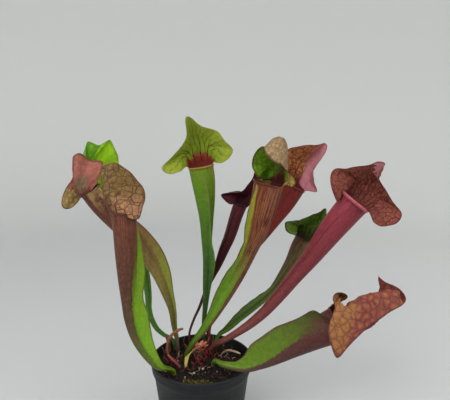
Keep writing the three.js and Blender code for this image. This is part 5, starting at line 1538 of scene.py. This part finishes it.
# %% Stem finish
def stem_tissue(name, stops, roughness, wrinkles=0.3):
    """Colours up a stem, with fibres along it."""
    material, put, place, dress = new_material(name)
    growth = put("ShaderNodeAttribute", attribute_name="growth").outputs["Fac"]
    blotch = put("ShaderNodeTexNoise", {"Vector": place, "Scale": 1 / (3.5 * MM), "Detail": 5.0})
    level = put("ShaderNodeMath", [blotch, 0.5, growth], operation="MULTIPLY_ADD")
    moved = put("ShaderNodeMath", [level, 0.25], operation="SUBTRACT")
    colour = put("ShaderNodeValToRGB", [moved], stops=stops)
    drawn = put("ShaderNodeMapping", {"Vector": place, "Scale": (1, 1, 0.18)})
    fibre = put("ShaderNodeTexNoise", {"Vector": drawn, "Scale": 1 / (0.9 * MM), "Detail": 3.0})
    shade = put("ShaderNodeMapRange", [fibre, 0.3, 0.7, 0.68, 1.25])
    toned = put("ShaderNodeVectorMath", {0: colour, "Scale": shade}, operation="SCALE")
    gloss = put("ShaderNodeMapRange", [blotch, 0, 1, roughness - 0.12, roughness + 0.12])
    bump = put("ShaderNodeBump", {"Strength": wrinkles, "Distance": 0.3 * MM, "Height": fibre})
    dress({"Base Color": toned, "Roughness": gloss, "Normal": bump, "Subsurface Weight": 0.1,
           "Subsurface Radius": (0.9, 0.4, 0.2), "Subsurface Scale": 1.0 * MM})
    return material


# %% Rhizome and cut leaf bases
CROWN_PLACE = (-4, 21)
CROWN_SIZE = (8.6, 11, 7)

rhizome = add_object(bpy.ops.mesh.primitive_uv_sphere_add, segments=40, ring_count=20, radius=1)
rhizome.name = rhizome.data.name = "crown_rhizome"
bpy.ops.object.mode_set(mode="EDIT")
bpy.ops.mesh.select_all(action="SELECT")
bpy.ops.transform.resize(value=[s * MM for s in CROWN_SIZE])
bpy.ops.transform.translate(value=(CROWN_PLACE[0] * MM, CROWN_PLACE[1] * MM, SOIL_TOP * MM))
bpy.ops.transform.vertex_random(offset=0.35 * MM, seed=4)
bpy.ops.object.mode_set(mode="OBJECT")
rhizome_finish = stem_tissue(
    "rhizome_skin", [(0, "#241712"), (0.4, "#4a2a1e"), (0.8, "#7a4130")], 0.7, 0.6)
finish_piece(rhizome, rhizome_finish, "crown")

LEAF_BASES = 14
draw = seeded(11)
bases = []
for i in range(LEAF_BASES):
    turn = i / LEAF_BASES * 2 * math.pi + draw() * 0.4
    ring = 0.25 if i % 3 == 0 else 0.62
    x = CROWN_PLACE[0] + math.cos(turn) * CROWN_SIZE[0] * ring
    y = CROWN_PLACE[1] + math.sin(turn) * CROWN_SIZE[1] * ring
    lean, height = 8 * ring, 7 + draw() * 5
    reach_x, reach_y = math.cos(turn) * lean, math.sin(turn) * lean
    path = [(x + reach_x * out, y + reach_y * out, up, wide, thick)
            for out, up, wide, thick in ((0, 1, 2.8, 1.3), (0.2, height * 0.45, 3.2, 0.8),
                                         (0.6, height * 0.85, 2.3, 0.5), (1, height, 0.4, 0.3))]
    bases.append(grow_stem("leaf_base", path, (-math.sin(turn), math.cos(turn), 0), rows=9,
                           straight=0, cup=0.4))
leaf_bases = join_copies("cut_leaf_bases", bases)
base_finish = stem_tissue(
    "fleshy_leaf_base",
    [(0, "#5a1c16"), (0.3, "#8c3020"), (0.6, "#b0543c"), (0.85, "#b87854"), (1, "#b49860")], 0.42)
finish_piece(leaf_bases, base_finish)

# %% [markdown]
# ### Old stubs and shoots round the crown
# Between the leaves stand the torn stubs of older leaves: dark red, brown or straw-coloured, some
# upright, some lying. They are the same stem shape with other numbers, in three finishes. Each has
# a thinner twin that leans the other way.

# %% Old stubs
# of each stub: x, y, height, lean in x, lean in y, width
STUB_GROUPS = {
    "red_stubs": ("fleshy_red_stub", [(0, "#3a1014"), (0.5, "#7c2a26"), (1, "#a04a38")], 0.45, [
        (3.9, 11.3, 9, 5, -2, 1.7), (7.0, 15.6, 7, 7, 1, 1.5), (10.1, 22.1, 8, 5, 3, 1.3),
        (2.2, 3.0, 6, 6, -5, 1.6), (-2.9, -1.1, 6, -3, -3, 1.9), (-6.3, 3.0, 7, -4, 0, 1.8),
        (-0.3, -8.9, 5, 2, -4, 1.7), (-7.7, -7.0, 5, -4, -3, 1.6), (12.6, 11.3, 5, 6, -2, 1.1),
        (4.2, 31.1, 10, 4, 2, 1.3), (-17.7, 24.3, 7, -4, 1, 1.3), (-30.7, -5.0, 8, -5, 3, 1.7),
        (-35.4, -1.1, 6, -6, -1, 1.6), (-25.1, -8.9, 6, 3, -3, 1.8),
        (-13.5, 13.4, 5, -3, -2, 1.4), (14.3, 28.8, 8, 3, 3, 1.2)]),
    "brown_stubs": ("dried_brown_stub", [(0, "#24120f"), (0.5, "#4c2a20"), (1, "#7c5238")], 0.75, [
        (-40.2, 11.3, 9, -5, 2, 1.2), (-35.4, 24.3, 11, -2, 4, 1.2), (-30.6, 31.1, 9, 2, 4, 1.1),
        (-23.2, 35.8, 8, 3, 3, 1.2), (-15.8, 42.9, 9, -3, 2, 1.1), (21.0, 28.8, 7, 5, 2, 1.1),
        (28.8, 19.9, 6, 6, 0, 1.1), (-40.0, -5.0, 5, -5, -2, 1.2), (-22.1, 3.0, 7, 3, -2, 1.4),
        (-17.3, -14.7, 4, 4, -3, 1.2), (18.1, 3.0, 5, 6, -3, 1.0), (-9.1, 45.3, 9, 2, 3, 1.2),
        (7.2, 42.9, 9, 3, 4, 1.0), (-45.7, 5.0, 4, -4, 0, 1.0), (-10.0, -16.5, 3, -5, -2, 1.1)]),
    "straw_stubs": ("bleached_stub", [(0, "#5a3c30"), (0.5, "#987a62"), (1, "#c0ac90")], 0.8, [
        (-1.9, -16.5, 4, 2, -1, 1.1), (-7.6, -22.1, 2, -6, -1, 0.8), (10.7, 40.5, 8, 1, 1, 0.8),
        (-45.3, 24.3, 6, -3, 2, 0.7), (23.3, 11.3, 3, 7, 1, 0.9), (31.9, 9.2, 2, 6, -2, 0.7),
        (-26.2, 11.3, 5, 2, 2, 0.9), (-32.6, -14.7, 2, 5, -2, 0.7), (5.9, -10.9, 2, 6, -1, 0.7)]),
}
for name, (finish, stops, roughness, stubs) in STUB_GROUPS.items():
    grown = []
    twins = [(x * 0.92, y * 0.92 + 1.6, height * 0.8, -lean_x, lean_y * 0.5, width * 0.6)
             for x, y, height, lean_x, lean_y, width in stubs]
    for number, (x, y, height, lean_x, lean_y, width) in enumerate(stubs + twins):
        path = [(x + lean_x * out, y + lean_y * out, up, width * wide, width * thick)
                for out, up, wide, thick in (
                    (0, -1.5, 0.9, 0.5), (0.1, height * 0.5, 0.75, 0.4),
                    (0.3, height * 1.0, 0.55, 0.25), (0.7, height * 1.4, 0.12, 0.1))]
        grown.append(grow_stem("stub", path, (math.cos(number), math.sin(number), 0.1), rows=7,
                               sides=9, straight=0, cup=0.3, knots=0.12))
    piece = join_copies(name, grown)
    finish_piece(piece, stem_tissue(finish, stops, roughness, 0.5))

# %% [markdown]
# ## Shoots, a dead stalk and a withered leaf
# Five small growths have a CAD node each. They keep the CAD's line and section, and get more rings,
# a slight knottiness and the finish of living or dried tissue.

# %% Small growth
SMALL_SHAPES = {
    "dead_petiole": {
        "across": (1, 0, 0),
        "path": [
            (-33, 2, 3, 1.6, 1.6), (-37, 6, 12, 1.6, 1.5), (-34, 12, 24, 1.7, 1.5),
            (-27, 16, 29, 1.8, 1.4), (-21, 19, 30, 1.6, 1.2),
        ],
    },
    "red_shoot": {
        "across": (0.4, 1, 0),
        "path": [
            (-21, -12, 3, 2, 1.4), (-27, -9, 7, 2, 1.3), (-35, -4, 12, 1.3, 1),
        ],
    },
    "withered_leaf": {
        "across": (0.7, 0.2, 0.6),
        "path": [
            (-16, -8, 3, 1.6, 1), (-15, -4, 9, 2.4, 0.8), (-10, 1, 13, 2.8, 0.7),
            (-3, 6, 16, 1.2, 0.6),
        ],
    },
    "dried_strand": {
        "across": (0, 0.3, 1),
        "path": [
            (20, 14, 3, 1, 0.8), (27, 13, 8, 1.2, 0.7), (35, 12, 7, 1.2, 0.6),
            (41, 11, 5, 0.8, 0.5),
        ],
    },
    "young_shoot": {
        "across": (1, 0.3, 0),
        "path": [
            (-36, 18, 3, 1.2, 1), (-38, 21, 12, 1.1, 0.9), (-41, 23, 20, 0.7, 0.6),
        ],
    },
}
SMALL_LOOKS = {
    "dead_petiole": ("dead_leaf_stalk", "drying_leaf_stalk", 0.55,
                     [(0, "#3c1612"), (0.3, "#6c321a"), (0.6, "#7e441e"), (1, "#845636")]),
    "red_shoot": ("red_shoot", "young_red_tissue", 0.45,
                  [(0, "#40120f"), (0.5, "#74261c"), (1, "#8c3c2a")]),
    "withered_leaf": ("withered_leaf", "yellowed_leaf", 0.6,
                      [(0, "#b8a050"), (0.35, "#a9a04a"), (0.7, "#a8924e"), (1, "#b08a6a")]),
    "dried_strand": ("dried_strand", "dried_straw", 0.8,
                     [(0, "#6a503a"), (0.4, "#a5896a"), (1, "#b8a488")]),
    "young_shoot": ("young_shoot", "dark_red_young_tissue", 0.5,
                    [(0, "#3a1614"), (0.5, "#5f2522"), (1, "#7c3a34")]),
}
for name, shape in SMALL_SHAPES.items():
    slot, finish, roughness, stops = SMALL_LOOKS[name]
    stem = grow_stem(f"{name}_stem", shape["path"], unit(shape["across"]), knots=0.14)
    finish_piece(stem, stem_tissue(finish, stops, roughness, 0.6), name)

# %% [markdown]
# ## Moss
# By the front rim the wet peat has grown over with moss. Low cushions carry it, and short shoots
# stand on them, each a little star of pointed leaves. The star is modelled once and copied.

# %% Moss
MOSS_CUSHIONS = 12
SHOOTS_PER_CUSHION = 15
MOSS_LEAVES = 8
MOSS_REACH = 47


def moss_lumps():
    """The places and sizes of the CAD's moss cushions."""
    draw = seeded(29)
    lumps = []
    for i in range(MOSS_CUSHIONS):
        turn = -1.95 + i / (MOSS_CUSHIONS - 1) * 0.62
        radius = 39.5 + (i % 3 - 1) * 2.6
        size = 3.4 + draw() * 1.2
        lumps.append((math.cos(turn) * radius, math.sin(turn) * radius, size, 2.2 + draw() * 0.9))
    return lumps


def moss_star():
    """One moss shoot of unit size: a cone with eight leaves bent out from it."""
    star = add_object(bpy.ops.mesh.primitive_cone_add, vertices=6, radius1=0.16, radius2=0.05,
                      depth=1, location=(0, 0, 0.5))
    bpy.ops.object.transform_apply(location=True)
    leaves = []
    for leaf in range(MOSS_LEAVES):
        turn, level = leaf * 2.4, 0.25 + leaf * 0.09
        leaves.append(add_object(
            bpy.ops.mesh.primitive_cone_add, vertices=3, radius1=0.13, radius2=0, depth=0.75,
            location=(math.cos(turn) * 0.3, math.sin(turn) * 0.3, level + 0.18),
            rotation=(0, math.radians(58), turn)))
    return join_copies("moss_star", [star] + leaves)


cushions = []
for x, y, size, height in moss_lumps():
    cushions.append(add_object(
        bpy.ops.mesh.primitive_uv_sphere_add, segments=16, ring_count=9, radius=1,
        location=(x * MM, y * MM, (SOIL_TOP + 0.6) * MM),
        scale=(size * 0.95 * MM, size * 0.95 * MM, height * 0.45 * MM)))
moss_body = join_copies("moss_cushions", cushions)
moss_places, moss_tones = [], []
for x, y, size, height in moss_lumps():
    for _ in range(SHOOTS_PER_CUSHION):
        turn, out = rng.uniform(0, 2 * math.pi), math.sqrt(rng.random()) * 0.92
        px, py = x + math.cos(turn) * out * size, y + math.sin(turn) * out * size
        if math.hypot(px, py) < MOSS_REACH:
            pz = SOIL_TOP + 0.2 + height * 0.45 * math.sqrt(1 - out**2) - rng.uniform(0.1, 0.6)
            lean = (math.cos(turn) * out, math.sin(turn) * out, 1.2)
            moss_places.append(standing((px, py, pz), lean, [rng.uniform(1.1, 1.9)] * 3))
            moss_tones.append(rng.random())
moss_shoots = scatter("moss_shoots", [moss_star()], moss_places, moss_tones)
moss_finish = peat_and_crumbs(
    "living_moss",
    [(0.1, "#241c10"), (0.35, "#3a3418"), (0.6, "#6e6420"), (0.85, "#8c8028"), (1, "#a0803c")],
    2, 0.85, 0.75)
finish_piece(moss_body, moss_finish, "moss")
finish_piece(moss_shoots, moss_finish)

# %% [markdown]
# ## Hairs on the hoods
# The inner face of a pitcher's hood carries stiff pale hairs, about 1.5 mm long, that all point
# down to the mouth. One cone is the hair. Its copies stand on the sheets of the four open hoods.

# %% Hood hairs
HAIRY_HOODS = ("pitcher_tall_green", "pitcher_middle", "pitcher_red", "pitcher_great_red")
HAIRS_EACH = 50
HAIR_WIDTH = 0.06


def hood_hairs(shape, count):
    """The places of the hairs on one hood: on its inner face, leaning down to the throat."""
    sheet, normals, _ = hood_sheet(shape, leaf_section(shape, 1))
    places = []
    for _ in range(count):
        row, column = rng.randrange(2, HOOD_ROWS - 2), rng.randrange(3, HOOD_STEPS - 3)
        shift = (sheet[row + 1][column + 1] - sheet[row][column]) * rng.random()
        foot = sheet[row][column] + shift - normals[row][column] * TISSUE * 0.3
        down = unit(sheet[row - 1][column] - sheet[row][column])
        lean = down * 1.2 - normals[row][column]
        places.append(standing(foot, lean, (HAIR_WIDTH, HAIR_WIDTH, rng.uniform(1.0, 1.9))))
    return places


hair = add_object(bpy.ops.mesh.primitive_cone_add, vertices=4, radius1=1, radius2=0.1, depth=1,
                  location=(0, 0, 0.5))
bpy.ops.object.transform_apply(location=True)
hair_places = [place for name in HAIRY_HOODS
               for place in hood_hairs(PITCHER_SHAPES[name], HAIRS_EACH)]
hairs = scatter("hood_hairs", [hair], hair_places, [rng.random() for _ in hair_places])
hair_finish = peat_and_crumbs(
    "stiff_pale_hair", [(0.2, "#8a8468"), (0.6, "#a09a7c"), (0.9, "#b8b298")], 2, 0.6, 0.8)
finish_piece(hairs, hair_finish)
